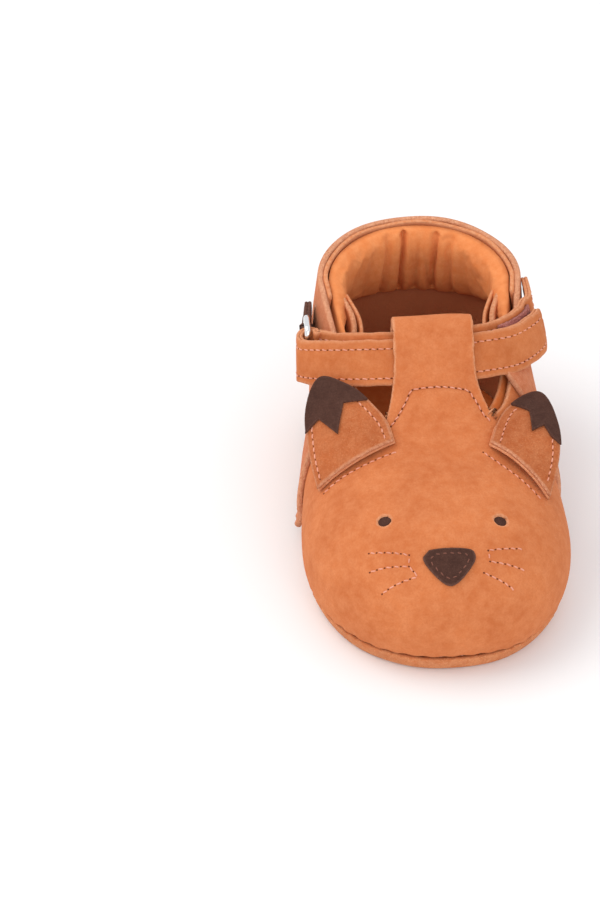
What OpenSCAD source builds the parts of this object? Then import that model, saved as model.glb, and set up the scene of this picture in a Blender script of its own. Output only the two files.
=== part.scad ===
// Baby bootie with an animal face, left foot.
// Millimetres. X is the width (medial side -X), toe at -Y, heel at +Y, Z up.
// The origin is on the ground under the middle of the foot.

/* [Foot form] */
// half width of the upper at the ball of the foot
ball_half_width = 33.8; // [28:0.1:40]
// half width of the upper at the heel
heel_half_width = 27; // [22:0.1:34]
// length of the rounded toe in front of the ball
toe_length = 39; // [30:0.5:48]
// length of the rounded heel behind the ankle line
heel_length = 24; // [18:0.5:30]
// Y of the widest line across the ball
ball_y = -22; // [-30:0.5:-15]
// Y where the heel begins to curve round
ankle_y = 36; // [28:0.5:44]
// height of the upper over the toes
toe_height = 36.5; // [28:0.5:44]
// height at which the upper is widest
widest_z = 12; // [8:0.5:16]
// sideways bend of the toe tip
toe_bend = 1; // [-3:0.1:3]

/* [Leather and foam] */
// thickness of the vamp leather
vamp_thick = 1.5; // [1:0.1:2.2]
// thickness of the quarter leather
quarter_thick = 1.6; // [1:0.1:2.4]
// thickness of the lining leathers
lining_thick = 0.9; // [0.6:0.1:1.4]
// thickness of the collar foam
collar_foam_thick = 2.9; // [2:0.1:5]
// depth of the padded collar below the top line
collar_depth = 15; // [8:0.5:22]
// play between neighbouring layers
layer_play = 0.1; // [0.05:0.05:0.3]

/* [Sole] */
// thickness of the suede under the foot
outsole_thick = 2.2; // [1.5:0.1:4]
// height of the suede rim that cups up round the upper
sole_rim_z = 5; // [4:0.1:8]
// thickness of the soft midsole foam
midsole_thick = 2.5; // [1.5:0.1:5]
// thickness of the insole
insole_thick = 1.5; // [1:0.1:3]
// radius of the seam thread between sole and upper
seam_thread_r = 0.32; // [0.2:0.02:0.5]

/* [Strap] */
// width of the strap
strap_width = 11.5; // [9:0.1:15]
// thickness of one run of the strap, both leathers sewn together
strap_thick = 1.7; // [1.2:0.1:2.4]
// thickness of one hook-and-loop patch
patch_thick = 0.8; // [0.6:0.1:1.5]
// width of a hook-and-loop patch
patch_width = 9.6; // [7:0.1:12]
// how far the inner run sits above the outer run
inner_run_rise = 2; // [0:0.1:4]

/* [Ring and tab] */
// radius of the ring's round wire
ring_wire_r = 0.8; // [0.6:0.05:1.5]
// height of the ring between wire centres
ring_height = 15; // [13:0.1:20]
// length of the ring between wire centres
ring_length = 7; // [5:0.1:10]
// height of the leather tab
tab_height = 9; // [6:0.5:12]

/* [Face] */
// thickness of each ear leather
ear_thick = 1; // [0.6:0.1:1.6]
// thickness of the ear tip patch and of the nose
patch_leather = 0.8; // [0.5:0.1:1.5]
// length of one hand stitch
stitch_length = 1.05; // [0.6:0.05:2]
// radius of the whisker thread
stitch_r = 0.25; // [0.15:0.01:0.4]

/* [View] */
// node to draw, or all

/* [Hidden] */
$fn = 48;
// colours
nubuck = [0.84, 0.50, 0.31];
suede = [0.70, 0.42, 0.26];
lining = [0.78, 0.47, 0.28];
brown = [0.33, 0.23, 0.19];
thread = [0.86, 0.60, 0.50];
velcro = [0.78, 0.52, 0.48];
foam = [0.93, 0.90, 0.80];
silver = [0.78, 0.79, 0.80];
// columns round the form: toe fan, each side, heel fan
toe_cols = 22;
side_cols = 12;
heel_cols = 16;
top_rows = 13;
low_z = [8, 4];
// levels
vamp_bottom_z = sole_rim_z + 2 * seam_thread_r + 0.06;
midsole_z = outsole_thick + layer_play;
insole_z = midsole_z + midsole_thick + layer_play;

// ---------- the foot form ----------
function sstep(t) = let(u = max(0, min(1, t))) u * u * (3 - 2 * u);
function half_width(y) =
    ball_half_width + (heel_half_width - ball_half_width) * sstep((y - ball_y) / (ankle_y - ball_y));
function crown(y) = let(t = max(y - ball_y, 0)) toe_height + 0.0125 * t * t + 0.00012 * t * t * t;
function toe_reach(a, d) =
    1 / pow(pow(abs(sin(a)) / (ball_half_width + d), 2.25) + pow(abs(cos(a)) / (toe_length + d), 2.25), 1 / 2.25);
function heel_reach(b, d) =
    1 / norm([sin(b) / (heel_half_width + d), cos(b) / (heel_length + d)]);
function toe_shift(y) =
    let(t = max(0, min(1, (ball_y + 10 - y) / (toe_length + 10)))) toe_bend * t * t;
function side_y(k) = ball_y + (ankle_y - ball_y) * k / side_cols;
// one column: centre y, direction x, direction y, reach, crown height
function toe_col(k, d) = let(a = 90 - 180 * k / toe_cols)
    [ball_y, sin(a), -cos(a), toe_reach(a, d), toe_height + d];
function side_col(k, s, d) =
    [side_y(k), s, 0, half_width(side_y(k)) + d, crown(side_y(k)) + d];
function heel_col(k, d) = let(b = -90 + 180 * k / heel_cols)
    [ankle_y, sin(b), cos(b), heel_reach(b, d), crown(ankle_y) + d];
function form_cols(d) = concat(
    [for (k = [0:toe_cols]) toe_col(k, d)],
    [for (k = [1:side_cols - 1]) side_col(k, -1, d)],
    [for (k = [0:heel_cols]) heel_col(k, d)],
    [for (k = [1:side_cols - 1]) side_col(side_cols - k, 1, d)]
);
function low_scale(z) = 0.9 + 0.1 * sin(90 * max(z, 0) / widest_z);
function col_point(c, r, z) = let(y = c[0] + c[2] * c[3] * r)
    [c[1] * c[3] * r + (r > 0 ? toe_shift(y) : toe_shift(c[0])), y, z];
function col_top(c, j) = let(a = 90 * j / top_rows)
    col_point(c, j == 0 ? 0 : pow(sin(a), 0.8), widest_z + (c[4] - widest_z) * (j == top_rows ? 0 : pow(cos(a), 1 / 1.1)));

// closed solid bounded by the form grown by d and by the plane z = base_z
module foot_form(d, base_z) {
    cols = form_cols(d);
    n = len(cols);
    lows = concat([for (z = low_z) if (z > base_z) z], [base_z]);
    rows = top_rows + 1 + len(lows);
    pts = [for (c = cols) each concat(
        [for (j = [0:top_rows]) col_top(c, j)],
        [for (z = lows) col_point(c, low_scale(z), z)]
    )];
    walls = [for (i = [0:n - 1]) for (j = [0:rows - 2])
        let(a = i * rows + j, b = ((i + 1) % n) * rows + j)
        if (pts[a] == pts[b]) [a, a + 1, b + 1]
        else [a, a + 1, b + 1, b]];
    base = [for (i = [n - 1:-1:0]) i * rows + rows - 1];
    polyhedron(points = pts, faces = concat(walls, [base]), convexity = 6);
}
// outline of the form at height z below the widest line
function form_ring(z, d) = [for (c = form_cols(d)) let(p = col_point(c, low_scale(z), z)) [p[0], p[1]]];
module ring_plate(z, h, d) {
    translate([0, 0, z])
        linear_extrude(h)
            polygon(form_ring(z, d));
}
// leather layer between two growths of the form
module layer(d_in, d_out, base_z) {
    difference() {
        foot_form(d_out, base_z);
        foot_form(d_in, base_z - 3);
    }
}
// prism across the foot whose outline is drawn in the side view (y, z)
module side_prism(pts) {
    rotate([90, 0, 90])
        translate([0, 0, -60])
            linear_extrude(120)
                polygon(pts);
}
// upright prism whose outline is drawn in plan (x, y)
module plan_prism(pts) {
    linear_extrude(120)
        polygon(pts);
}
// height of the form's surface at a plan point
function surface_z(x, y, d) =
    let(xs = x - toe_shift(y))
    let(a = atan2(xs, -(y - ball_y)))
    let(r = y < ball_y ? norm([xs, y - ball_y]) / toe_reach(a, 0) : abs(xs) / half_width(y))
    let(h = crown(y) + d)
    widest_z + (h - widest_z) * pow(max(0, 1 - pow(min(r, 1), 2.5)), 1 / 2.2);
function on_form(x, y, d) = [x, y, surface_z(x, y, d)];
function unit(v) = v / norm(v);
function form_normal(x, y) =
    unit([surface_z(x - 0.1, y, 0) - surface_z(x + 0.1, y, 0), surface_z(x, y - 0.1, 0) - surface_z(x, y + 0.1, 0), 0.2]);

// Catmull-Rom curve through points
function cr(a, b, c, d, t) =
    0.5 * (2 * b + (c - a) * t + (2 * a - 5 * b + 4 * c - d) * t * t + (3 * b - a - 3 * c + d) * t * t * t);
function curve(p, n) = let(m = len(p) - 1) concat(
    [for (i = [0:m - 1]) for (k = [0:n - 1])
        cr(i == 0 ? 2 * p[0] - p[1] : p[i - 1], p[i], p[i + 1], i == m - 1 ? 2 * p[m] - p[m - 1] : p[i + 2], k / n)],
    [p[m]]
);
function reversed(p) = [for (i = [len(p) - 1:-1:0]) p[i]];

// frame with x, y, z axes put at p, as Euler angles
module in_frame(p, ex, ey, ez) {
    translate(p)
        rotate([atan2(ey[2], ez[2]), asin(max(-1, min(1, -ex[2]))), atan2(ex[1], ex[0])])
            children();
}

// ---------- outlines ----------
// side view of the top line and of the quarter's raw front edge
topline = [[7, 46.5], [14, 49], [22, 50.8], [30, 52.3], [40, 53.8], [50, 55.3], [58, 56.3], [68, 56.8]];
quarter_front = [[-6.1, vamp_bottom_z], [-5.2, 18], [-2.4, 27.5], [-0.7, 32.7], [0.5, 34.8], [2.5, 38], [4, 41.6], [5.4, 44.5]];
quarter_side = concat(curve(quarter_front, 3), curve(topline, 3), [[68, vamp_bottom_z]]);
// side view of the vamp wing's top edge and rear edge
wing_top = [[-8.6, 38.2], [-2, 38.6], [4, 40.5], [10, 43.5], [18, 47], [25, 49.5]];
wing_side = concat([[-70, 0], [-70, 60], [-8.7, 60]], curve(wing_top, 3), [[29, 44], [28, 20], [26, 0]]);
// plan of the vamp in front of the throat, with the root of the T-bar
vamp_plan = [
    [-60, -70], [60, -70], [60, -6.9], [16.4, -6.9], [15, -5.9], [13.2, -4], [12.2, -1.5],
    [-9.4, -1.5], [-10.3, -4.5], [-11.3, -7], [-12.6, -8.6], [-60, -8.6]
];
// profile of the T-bar loop in the side view, outer face
tbar_outer = [
    [-7, 40.1], [-4.6, 41.9], [-2.3, 44.2], [-0.3, 46.8], [3.3, 51.1], [7, 55], [9.3, 56.9], [11.5, 57.3],
    [14.5, 56], [15.6, 53.2], [14.5, 49.8], [10.2, 44.6], [5.6, 40.6], [0.5, 37.6], [-5, 35.9]
];
tbar_x = [-8.8, 11];
tbar_thick = 1.4;

function left_normal(p, i) =
    let(a = p[max(0, i - 1)], b = p[min(len(p) - 1, i + 1)], t = unit(b - a)) [t[1], -t[0]];

// ---------- strap routes: outer face of the outer run, with the width direction ----------
strap_points = [
    [-33.1, 17.6, 41.8], [-32.2, 13.6, 43], [-24.5, 8, 46.3], [-10, 4.6, 48.6], [3, 4.3, 49.2],
    [14, 5.8, 49.2], [23, 10, 47.8], [29.7, 17.5, 46.5], [31.6, 22.4, 45.9]
];
strap_widths = [
    [-0.02, 0.06, 1], [0.1, 0.22, 1], [0.2, 0.5, 0.85], [0, 0.66, 0.75], [0, 0.66, 0.75],
    [-0.1, 0.62, 0.78], [-0.25, 0.4, 0.88], [-0.25, 0.2, 0.95], [-0.22, 0.12, 0.97]
];
strap_steps = 4;
run_points = curve(strap_points, strap_steps);
run_widths = [for (w = curve(strap_widths, strap_steps)) unit(w)];
run_count = len(run_points) - 1;
function run_tangent(i) = unit(run_points[min(i + 1, run_count)] - run_points[max(i - 1, 0)]);
// points out of the shoe
function run_normal(i) = unit(cross(run_tangent(i), run_widths[i]));
// depth of the inner run's centre below the outer face
function inner_depth(i) = let(x = run_points[i][0])
    x < -20 ? 2.85 + 2.3 * sstep((-20 - x) / 10) : 2.85 + 1.85 * sstep((x - 13) / 9);
// ribbon from step a to step b whose centre lies depth(i) below the outer face,
// its first section moved on by lead
module ribbon(a, b, width, thick, depths, rise, lead = 0) {
    pts = [for (i = [a:b])
        let(c = run_points[i] - run_normal(i) * depths[i] + run_widths[i] * rise
            + (i == a ? lead : 0) * run_tangent(i))
        let(w = run_widths[i] * width / 2, h = run_normal(i) * thick / 2)
        each [c - w - h, c + w - h, c + w + h, c - w + h]];
    m = b - a;
    sides = [for (i = [0:m - 1]) for (k = [0:3])
        let(p = 4 * i + k, q = 4 * i + (k + 1) % 4) each [[p, q + 4, q], [p, p + 4, q + 4]]];
    polyhedron(points = pts, faces = concat(sides, [[0, 1, 2, 3], [4 * m + 3, 4 * m + 2, 4 * m + 1, 4 * m]]), convexity = 8);
}
face_depth = [for (i = [0:run_count]) strap_thick / 2];
inner_depths = [for (i = [0:run_count]) inner_depth(i)];
hook_depth = [for (i = [0:run_count]) strap_thick + 0.05 + patch_thick / 2];
loop_depth = [for (i = [0:run_count]) hook_depth[i] + patch_thick + 0.05];
// steps where the tail begins and where the patches begin
tail_step = 20;
tail_gap = 0.3;
patch_step = 23;

// ---------- ring ----------
ring_x = -30.1;
ring_front_y = 17.2;
ring_rear_y = ring_front_y + ring_length;
ring_z = 42.6;
ring_corner = 1.8;

// ---------- ears: base start, base end, length direction angle above the surface ----------
ear_lift = 22;
ear_left_base = [[-29, -19.4, 26.4], [-9.6, -14.6, 36.7]];
ear_right_base = [[12.9, -15.6, 36], [27, -28, 28.3]];
ear_left_shape = [[0, 0.3], [1.6, 7], [3.8, 13.2], [6.2, 18.4], [9.8, 23], [13, 25.4], [15.4, 25], [18, 22], [20.8, 17.5], [22.4, 12.5], [23.4, 7], [22.7, 0.8]];
ear_right_shape = [[0, 0.8], [-2.4, 6.5], [-3.8, 12], [-3.7, 17.5], [-2, 21.8], [0.8, 22.2], [6, 18.8], [11.8, 14], [16, 8.6], [20.4, 0.3]];
ear_left_zig = [[-4, 14.4], [4.1, 14.3], [8.9, 15.4], [11.3, 9], [16.2, 16], [26, 12.5], [26, 40], [-4, 40]];
ear_right_zig = [[-8, 15], [-2.5, 15.2], [1.2, 15.2], [5.5, 10], [6.6, 13.6], [9.9, 12.2], [26, 12.4], [26, 40], [-8, 40]];
ear_roll_r = 27;
function ear_x(b) = unit(b[1] - b[0]);
function ear_mid(b) = (b[0] + b[1]) / 2;
function ear_up(b) = form_normal(ear_mid(b)[0], ear_mid(b)[1]);
function ear_back(b) = unit(cross(ear_up(b), ear_x(b)));
function ear_y(b) = unit(ear_back(b) * cos(ear_lift) + ear_up(b) * sin(ear_lift));
function ear_z(b) = cross(ear_x(b), ear_y(b));
// rolled leather shell between two heights over the base chord, its root cut to bear on the vamp
module ear_layer(b, shape, bottom, thick) {
    length = norm(b[1] - b[0]);
    sag = 2.9;
    roll = (length * length / 4 + sag * sag) / (2 * sag);
    difference() {
        in_frame(b[0], ear_x(b), ear_y(b), ear_z(b))
            intersection() {
                translate([0, 0, -10])
                    linear_extrude(30)
                        polygon(shape);
                translate([length / 2, -5, sag - roll])
                    rotate([-90, 0, 0])
                        difference() {
                            cylinder(h = 45, r = roll + bottom + thick, $fn = 120);
                            translate([0, 0, -1])
                                cylinder(h = 47, r = roll + bottom, $fn = 120);
                        }
            }
        foot_form(0.12, 10);
    }
}
module ear_tip(b, shape, zig, bottom) {
    intersection() {
        ear_layer(b, shape, bottom, patch_leather);
        in_frame(b[0], ear_x(b), ear_y(b), ear_z(b))
            translate([0, 0, -10])
                linear_extrude(30)
                    polygon(zig);
    }
}

// ---------- face ----------
nose_at = [0.4, -52.3];
nose_shape = [[-5.2, 3.5], [0, 3.9], [5.2, 3.5], [6.5, 2.2], [6.1, 0.3], [3.4, -2.9], [1, -4.7], [-1, -4.7], [-3.4, -2.9], [-6.1, 0.3], [-6.5, 2.2]];
eye_left_at = [-14.6, -39.2];
eye_right_at = [13.9, -40.6];
eye_a = 1.85;
eye_b = 1.7;
// plane touching the form at a plan point, its x axis kept level
module on_face(at, d) {
    n = form_normal(at[0], at[1]);
    ex = unit(cross([0, 1, 0], n));
    ey = cross(n, ex);
    in_frame(on_form(at[0], at[1], d), ex, ey, n)
        children();
}
whisker_left_lines = [
    [[-18.7, -46], [-9.2, -49.3]], [[-18.7, -49.8], [-9.4, -51.6]], [[-16, -54.4], [-7.4, -53.8]],
    [[-9.2, -49.3], [-9.4, -51.6]], [[-9.4, -51.6], [-7.4, -53.8]]
];
whisker_right_lines = [
    [[10, -48.9], [18.9, -46.5]], [[10.3, -51.2], [19.1, -50.9]], [[8.6, -53.6], [16.1, -55.1]],
    [[10, -48.9], [10.3, -51.2]]
];
module rod(a, b, r) {
    v = b - a;
    translate(a)
        rotate([0, acos(v[2] / norm(v)), atan2(v[1], v[0])])
            cylinder(h = norm(v), r = r, $fn = 12);
}
module whisker(line) {
    a = line[0];
    b = line[1];
    count = max(1, round(norm(b - a) / 1.55));
    for (k = [0:count - 1]) {
        p = a + (b - a) * (k + 0.16) / count;
        q = a + (b - a) * (k + 0.84) / count;
        lift = stitch_r + 0.06;
        rod(on_form(p[0], p[1], 0) + form_normal(p[0], p[1]) * lift,
            on_form(q[0], q[1], 0) + form_normal(q[0], q[1]) * lift, stitch_r);
    }
}

// ---------- one module per piece ----------
module outsole() {
    color(suede)
        difference() {
            intersection() {
                foot_form(0.1, 0);
                translate([-60, -80, -5])
                    cube([120, 160, sole_rim_z + 5]);
            }
            intersection() {
                foot_form(-1.5, 0);
                translate([-60, -80, outsole_thick])
                    cube([120, 160, 10]);
            }
        }
}
module sole_seam() {
    ring = form_ring(sole_rim_z, -0.5);
    n = len(ring);
    sides = 8;
    pts = [for (i = [0:n - 1])
        let(t = unit(ring[(i + 1) % n] - ring[(i + n - 1) % n]))
        each [for (k = [0:sides - 1]) let(a = 360 * k / sides)
            [ring[i][0] + t[1] * seam_thread_r * cos(a), ring[i][1] - t[0] * seam_thread_r * cos(a),
                sole_rim_z + seam_thread_r + 0.03 + seam_thread_r * sin(a)]]];
    color(thread)
        polyhedron(points = pts, faces = [for (i = [0:n - 1]) for (k = [0:sides - 1])
            let(j = (i + 1) % n, m = (k + 1) % sides)
            each [[i * sides + k, i * sides + m, j * sides + m], [i * sides + k, j * sides + m, j * sides + k]]]);
}
module midsole_foam() {
    color(foam)
        ring_plate(midsole_z, midsole_thick, -4.6);
}
module insole() {
    color(lining)
        ring_plate(insole_z, insole_thick, -5.2);
}
module eye_hole(at) {
    on_face(at, 0)
        translate([0, 0, -2.2])
            linear_extrude(5)
                polygon([for (k = [0:31]) [eye_a * cos(k * 11.25), eye_b * sin(k * 11.25)]]);
}
module tbar_loop() {
    outer = curve(tbar_outer, 3);
    inner = [for (i = [0:len(outer) - 1]) outer[i] + left_normal(outer, i) * tbar_thick];
    rotate([90, 0, 90])
        translate([0, 0, tbar_x[0]])
            linear_extrude(tbar_x[1] - tbar_x[0])
                polygon(concat(outer, reversed(inner)));
}
module vamp() {
    color(nubuck)
        difference() {
            union() {
                intersection() {
                    layer(-vamp_thick, 0, vamp_bottom_z);
                    union() {
                        intersection() {
                            side_prism(wing_side);
                            union() {
                                plan_prism([[-60, -70], [60, -70], [60, -7.2], [-60, -8.7]]);
                                side_prism(concat([[-12, 0]], [[-12, 36]], curve(wing_top, 3), [[29, 44], [28, 20], [26, 0]]));
                            }
                        }
                        plan_prism(vamp_plan);
                    }
                }
                tbar_loop();
            }
            eye_hole(eye_left_at);
            eye_hole(eye_right_at);
        }
}
module vamp_lining() {
    color(lining)
        intersection() {
            layer(-3.3, -2.4, 1.5);
            side_prism([
                [-70, vamp_bottom_z], [-70, 60], [-9.4, 60], [-9.6, 34.5], [-2.2, 34.6], [4, 35.5],
                [10, 37], [11, 20], [11.2, vamp_bottom_z]
            ]);
        }
}
module quarter() {
    color(nubuck)
        intersection() {
            layer(0.1, 0.1 + quarter_thick, 1.5);
            side_prism(quarter_side);
        }
}
module heel_lining() {
    rear = [for (p = curve([for (i = [3:7]) topline[i]], 3)) if (p[0] > 30.5) [p[0], p[1] - 1.2]];
    color(lining)
        difference() {
            intersection() {
                foot_form(-0.15, vamp_bottom_z);
                side_prism(concat([[29.3, 0], [29.5, 20], [29.7, 44]], rear, [[68, 0]]));
            }
            foot_form(-1.35, vamp_bottom_z - 3);
        }
}
function collar_band(inset, depth) = concat(
    curve([for (p = [[13, 47.4], [22, 50.2], [30, 51.7], [40, 53.2], [50, 54.7], [58, 55.7], [68, 56.2]]) [p[0], p[1] - inset]], 3),
    reversed(curve([for (p = [[13, 47.4], [22, 50.2], [30, 51.7], [40, 53.2], [50, 54.7], [58, 55.7], [68, 56.2]]) [p[0], p[1] - depth]], 3))
);
module collar_foam() {
    d_out = -vamp_thick - layer_play;
    color(foam)
        intersection() {
            layer(d_out - collar_foam_thick, d_out, vamp_bottom_z);
            side_prism(collar_band(1.2, collar_depth));
        }
}
module collar_lining() {
    d_out = -vamp_thick - 2 * layer_play - collar_foam_thick;
    color(lining)
        intersection() {
            layer(d_out - lining_thick, d_out, vamp_bottom_z);
            side_prism(collar_band(0.8, collar_depth + 0.6));
        }
}
// the side of the shoe out to the quarter's outer face, where the strap bears on it; side is -1 or 1
module strap_bed(side) {
    intersection() {
        foot_form(0.1 + quarter_thick + 0.06, 10);
        union() {
            translate([side * 35 - 20, 4.1, 0])
                cube([40, 20, 48.8]);
            translate([side * 35 - 20, 13.2, 0])
                cube([40, 60, 51.6]);
        }
    }
}
module strap_inner_run() {
    color(lining)
        difference() {
            ribbon(0, run_count, strap_width, strap_thick, inner_depths, inner_run_rise, 2.2);
            strap_bed(-1);
            strap_bed(1);
        }
}
module loop_patch() {
    color(velcro)
        ribbon(patch_step + 5, run_count, patch_width - 1.6, patch_thick, loop_depth, 1.2);
}
module strap_outer_run() {
    outer_x = -33.1 + strap_thick / 2;
    inner_x = ring_x * 2 - outer_x;
    mid = (outer_x + inner_x) / 2;
    color(nubuck)
        difference() {
            union() {
                ribbon(0, tail_step, strap_width, strap_thick, face_depth, 0);
                translate([mid, ring_front_y + 0.4, ring_z - strap_width / 2])
                    rotate_extrude(angle = 180, $fn = 48)
                        translate([(inner_x - outer_x) / 2 - strap_thick / 2, 0])
                            square([strap_thick, strap_width]);
            }
            strap_bed(-1);
            strap_bed(1);
        }
}
module strap_tail() {
    color(nubuck)
        difference() {
            ribbon(tail_step, run_count, strap_width, strap_thick, face_depth, 0, tail_gap);
            strap_bed(1);
        }
}
module hook_patch() {
    color(velcro)
        ribbon(patch_step + 5, run_count, patch_width - 1.6, patch_thick, hook_depth, 1.2);
}
module ring_tab() {
    color(brown)
        translate([ring_x, ring_rear_y, ring_z - tab_height / 2])
            linear_extrude(tab_height)
                difference() {
                    union() {
                        circle(r = ring_wire_r + 1.1, $fn = 48);
                        polygon([[-1.2, 0.6], [1.2, 0.6], [1.6, 10.5], [-0.6, 10.5]]);
                    }
                    circle(r = ring_wire_r + 0.08, $fn = 48);
                }
}
module ring() {
    h = ring_height / 2 - ring_corner;
    l = ring_length / 2 - ring_corner;
    color(silver)
        translate([ring_x, ring_front_y + ring_length / 2, ring_z])
            rotate([0, 90, 0])
                union() {
                    for (s = [-1, 1]) {
                        translate([0, s * ring_length / 2, 0])
                            rotate([0, 90, 0])
                                translate([0, 0, -h])
                                    cylinder(h = 2 * h, r = ring_wire_r);
                        translate([s * ring_height / 2, 0, 0])
                            rotate([90, 0, 0])
                                translate([0, 0, -l])
                                    cylinder(h = 2 * l, r = ring_wire_r);
                        for (t = [-1, 1])
                            translate([s * h, t * l, 0])
                                rotate([0, 0, s > 0 ? (t > 0 ? 0 : -90) : (t > 0 ? 90 : 180)])
                                    rotate_extrude(angle = 90)
                                        translate([ring_corner, 0])
                                            circle(r = ring_wire_r, $fn = 24);
                    }
                }
}
module nose() {
    color(brown)
        intersection() {
            layer(0.05, 0.05 + patch_leather, vamp_bottom_z);
            on_face(nose_at, 0)
                translate([0, 0, -4])
                    linear_extrude(9)
                        polygon(nose_shape);
        }
}
module eye_patch(at) {
    color(brown)
        intersection() {
            layer(-2.2, -vamp_thick - 0.05, vamp_bottom_z);
            on_face(at, 0)
                translate([0, 0, -4])
                    cylinder(h = 9, r = 3.4, $fn = 32);
        }
}
module eye_left() {
    eye_patch(eye_left_at);
}
module eye_right() {
    eye_patch(eye_right_at);
}
module whiskers_left() {
    color(thread)
        for (line = whisker_left_lines)
            whisker(line);
}
module whiskers_right() {
    color(thread)
        for (line = whisker_right_lines)
            whisker(line);
}
module ear_left_back() {
    color(nubuck)
        ear_layer(ear_left_base, ear_left_shape, 0, ear_thick);
}
module ear_left_front() {
    color(nubuck)
        ear_layer(ear_left_base, ear_left_shape, ear_thick + 0.02, ear_thick);
}
module ear_left_tip() {
    color(brown)
        ear_tip(ear_left_base, ear_left_shape, ear_left_zig, 2 * ear_thick + 0.04);
}
module ear_right_back() {
    color(nubuck)
        ear_layer(ear_right_base, ear_right_shape, 0, ear_thick);
}
module ear_right_front() {
    color(nubuck)
        ear_layer(ear_right_base, ear_right_shape, ear_thick + 0.02, ear_thick);
}
module ear_right_tip() {
    color(brown)
        ear_tip(ear_right_base, ear_right_shape, ear_right_zig, 2 * ear_thick + 0.04);
}

outsole();
sole_seam();
midsole_foam();
insole();
vamp();
vamp_lining();
quarter();
heel_lining();
collar_foam();
collar_lining();
strap_inner_run();
loop_patch();
strap_outer_run();
strap_tail();
hook_patch();
ring_tab();
ring();
nose();
eye_left();
eye_right();
whiskers_left();
whiskers_right();
ear_left_back();
ear_left_front();
ear_left_tip();
ear_right_back();
ear_right_front();
ear_right_tip();
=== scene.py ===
"""Baby bootie with an animal face: the looks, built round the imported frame. The scene is in metres;
the sizes here are in millimetres."""

import math

import bpy
import numpy as np
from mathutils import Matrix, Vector


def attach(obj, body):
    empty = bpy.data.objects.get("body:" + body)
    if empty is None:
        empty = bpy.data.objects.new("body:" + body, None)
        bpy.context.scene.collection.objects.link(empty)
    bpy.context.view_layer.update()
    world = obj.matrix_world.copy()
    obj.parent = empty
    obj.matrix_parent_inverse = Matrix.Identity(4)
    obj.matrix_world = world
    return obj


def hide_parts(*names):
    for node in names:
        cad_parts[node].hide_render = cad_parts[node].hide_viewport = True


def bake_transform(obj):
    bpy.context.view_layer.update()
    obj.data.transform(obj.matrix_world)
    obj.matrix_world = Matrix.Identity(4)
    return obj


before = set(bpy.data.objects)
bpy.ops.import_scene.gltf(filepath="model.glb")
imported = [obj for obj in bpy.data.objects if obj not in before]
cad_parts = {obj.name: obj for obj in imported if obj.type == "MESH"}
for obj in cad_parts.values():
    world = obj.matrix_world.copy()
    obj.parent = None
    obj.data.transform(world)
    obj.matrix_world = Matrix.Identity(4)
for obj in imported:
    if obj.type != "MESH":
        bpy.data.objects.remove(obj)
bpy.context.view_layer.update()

# ------------------------------------------------------------------------------------------------
# 1 Outsole. One piece of rough suede, cupped up 5 mm all round and sewn, edges turned in, to the
# upper. Every leather here follows one foot form, so its formulas stand in this first section.
# ------------------------------------------------------------------------------------------------
BALL_Y, ANKLE_Y, WIDEST_Z = -22.0, 36.0, 12.0


def smooth(t):
    """Eases from 0 to 1: 3 t squared minus 2 t cubed, held at both ends."""
    t = np.clip(t, 0.0, 1.0)
    return t * t * (3.0 - 2.0 * t)


def half_width(y):
    """Half width of the form behind the ball, easing from 33.8 at the ball to 27 at the ankle."""
    return 33.8 - 6.8 * smooth((y - BALL_Y) / (ANKLE_Y - BALL_Y))


def crown(y):
    """Height of the form along its ridge: level over the toes, then a rising quadratic and cubic."""
    t = np.maximum(y - BALL_Y, 0.0)
    return 36.5 + 0.0125 * t**2 + 0.00012 * t**3


def toe_shift(y):
    """Sideways bend of the toe, growing with the square of the distance past the ball."""
    t = np.clip((BALL_Y + 10.0 - y) / 49.0, 0.0, 1.0)
    return t * t


def form_z(x, y, d=0.0):
    """Height of the form grown by d over a plan point: a superellipse across each section."""
    xs = x - toe_shift(y)
    a = np.arctan2(xs, -(y - BALL_Y))
    reach = (np.abs(np.sin(a) / 33.8) ** 2.25 + np.abs(np.cos(a) / 39.0) ** 2.25) ** (-1 / 2.25)
    r = np.where(y < BALL_Y, np.hypot(xs, y - BALL_Y) / reach, np.abs(xs) / half_width(y))
    return WIDEST_Z + (crown(y) + d - WIDEST_Z) * (1.0 - np.clip(r, 0, 1) ** 2.5) ** (1 / 2.2)


def columns(d, n_toe, n_side, n_heel):
    """Columns round the form, each (y of its foot on the ridge, direction x, y, reach, height):
    a fan round the toe, the medial side, a fan round the heel and the lateral side."""
    a = np.radians(np.linspace(90, -90, n_toe + 1))
    reach = (np.abs(np.sin(a) / (33.8 + d)) ** 2.25 + np.abs(np.cos(a) / (39.0 + d)) ** 2.25) ** (-1 / 2.25)
    toe = np.stack([np.full(n_toe + 1, BALL_Y), np.sin(a), -np.cos(a), reach, np.full(n_toe + 1, 36.5 + d)],
                   1)
    y = np.linspace(BALL_Y, ANKLE_Y, n_side + 1)[1:-1]
    zero = np.zeros_like(y)
    medial = np.stack([y, zero - 1.0, zero, half_width(y) + d, crown(y) + d], 1)
    b = np.radians(np.linspace(-90, 90, n_heel + 1))
    reach = 1.0 / np.hypot(np.sin(b) / (27.0 + d), np.cos(b) / (24.0 + d))
    heel = np.stack([np.full(n_heel + 1, ANKLE_Y), np.sin(b), np.cos(b), reach,
                     np.full(n_heel + 1, crown(ANKLE_Y) + d)], 1)
    lateral = medial[::-1] * np.array([1, -1, 1, 1, 1])
    return np.concatenate([toe, medial, heel, lateral])


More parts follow.
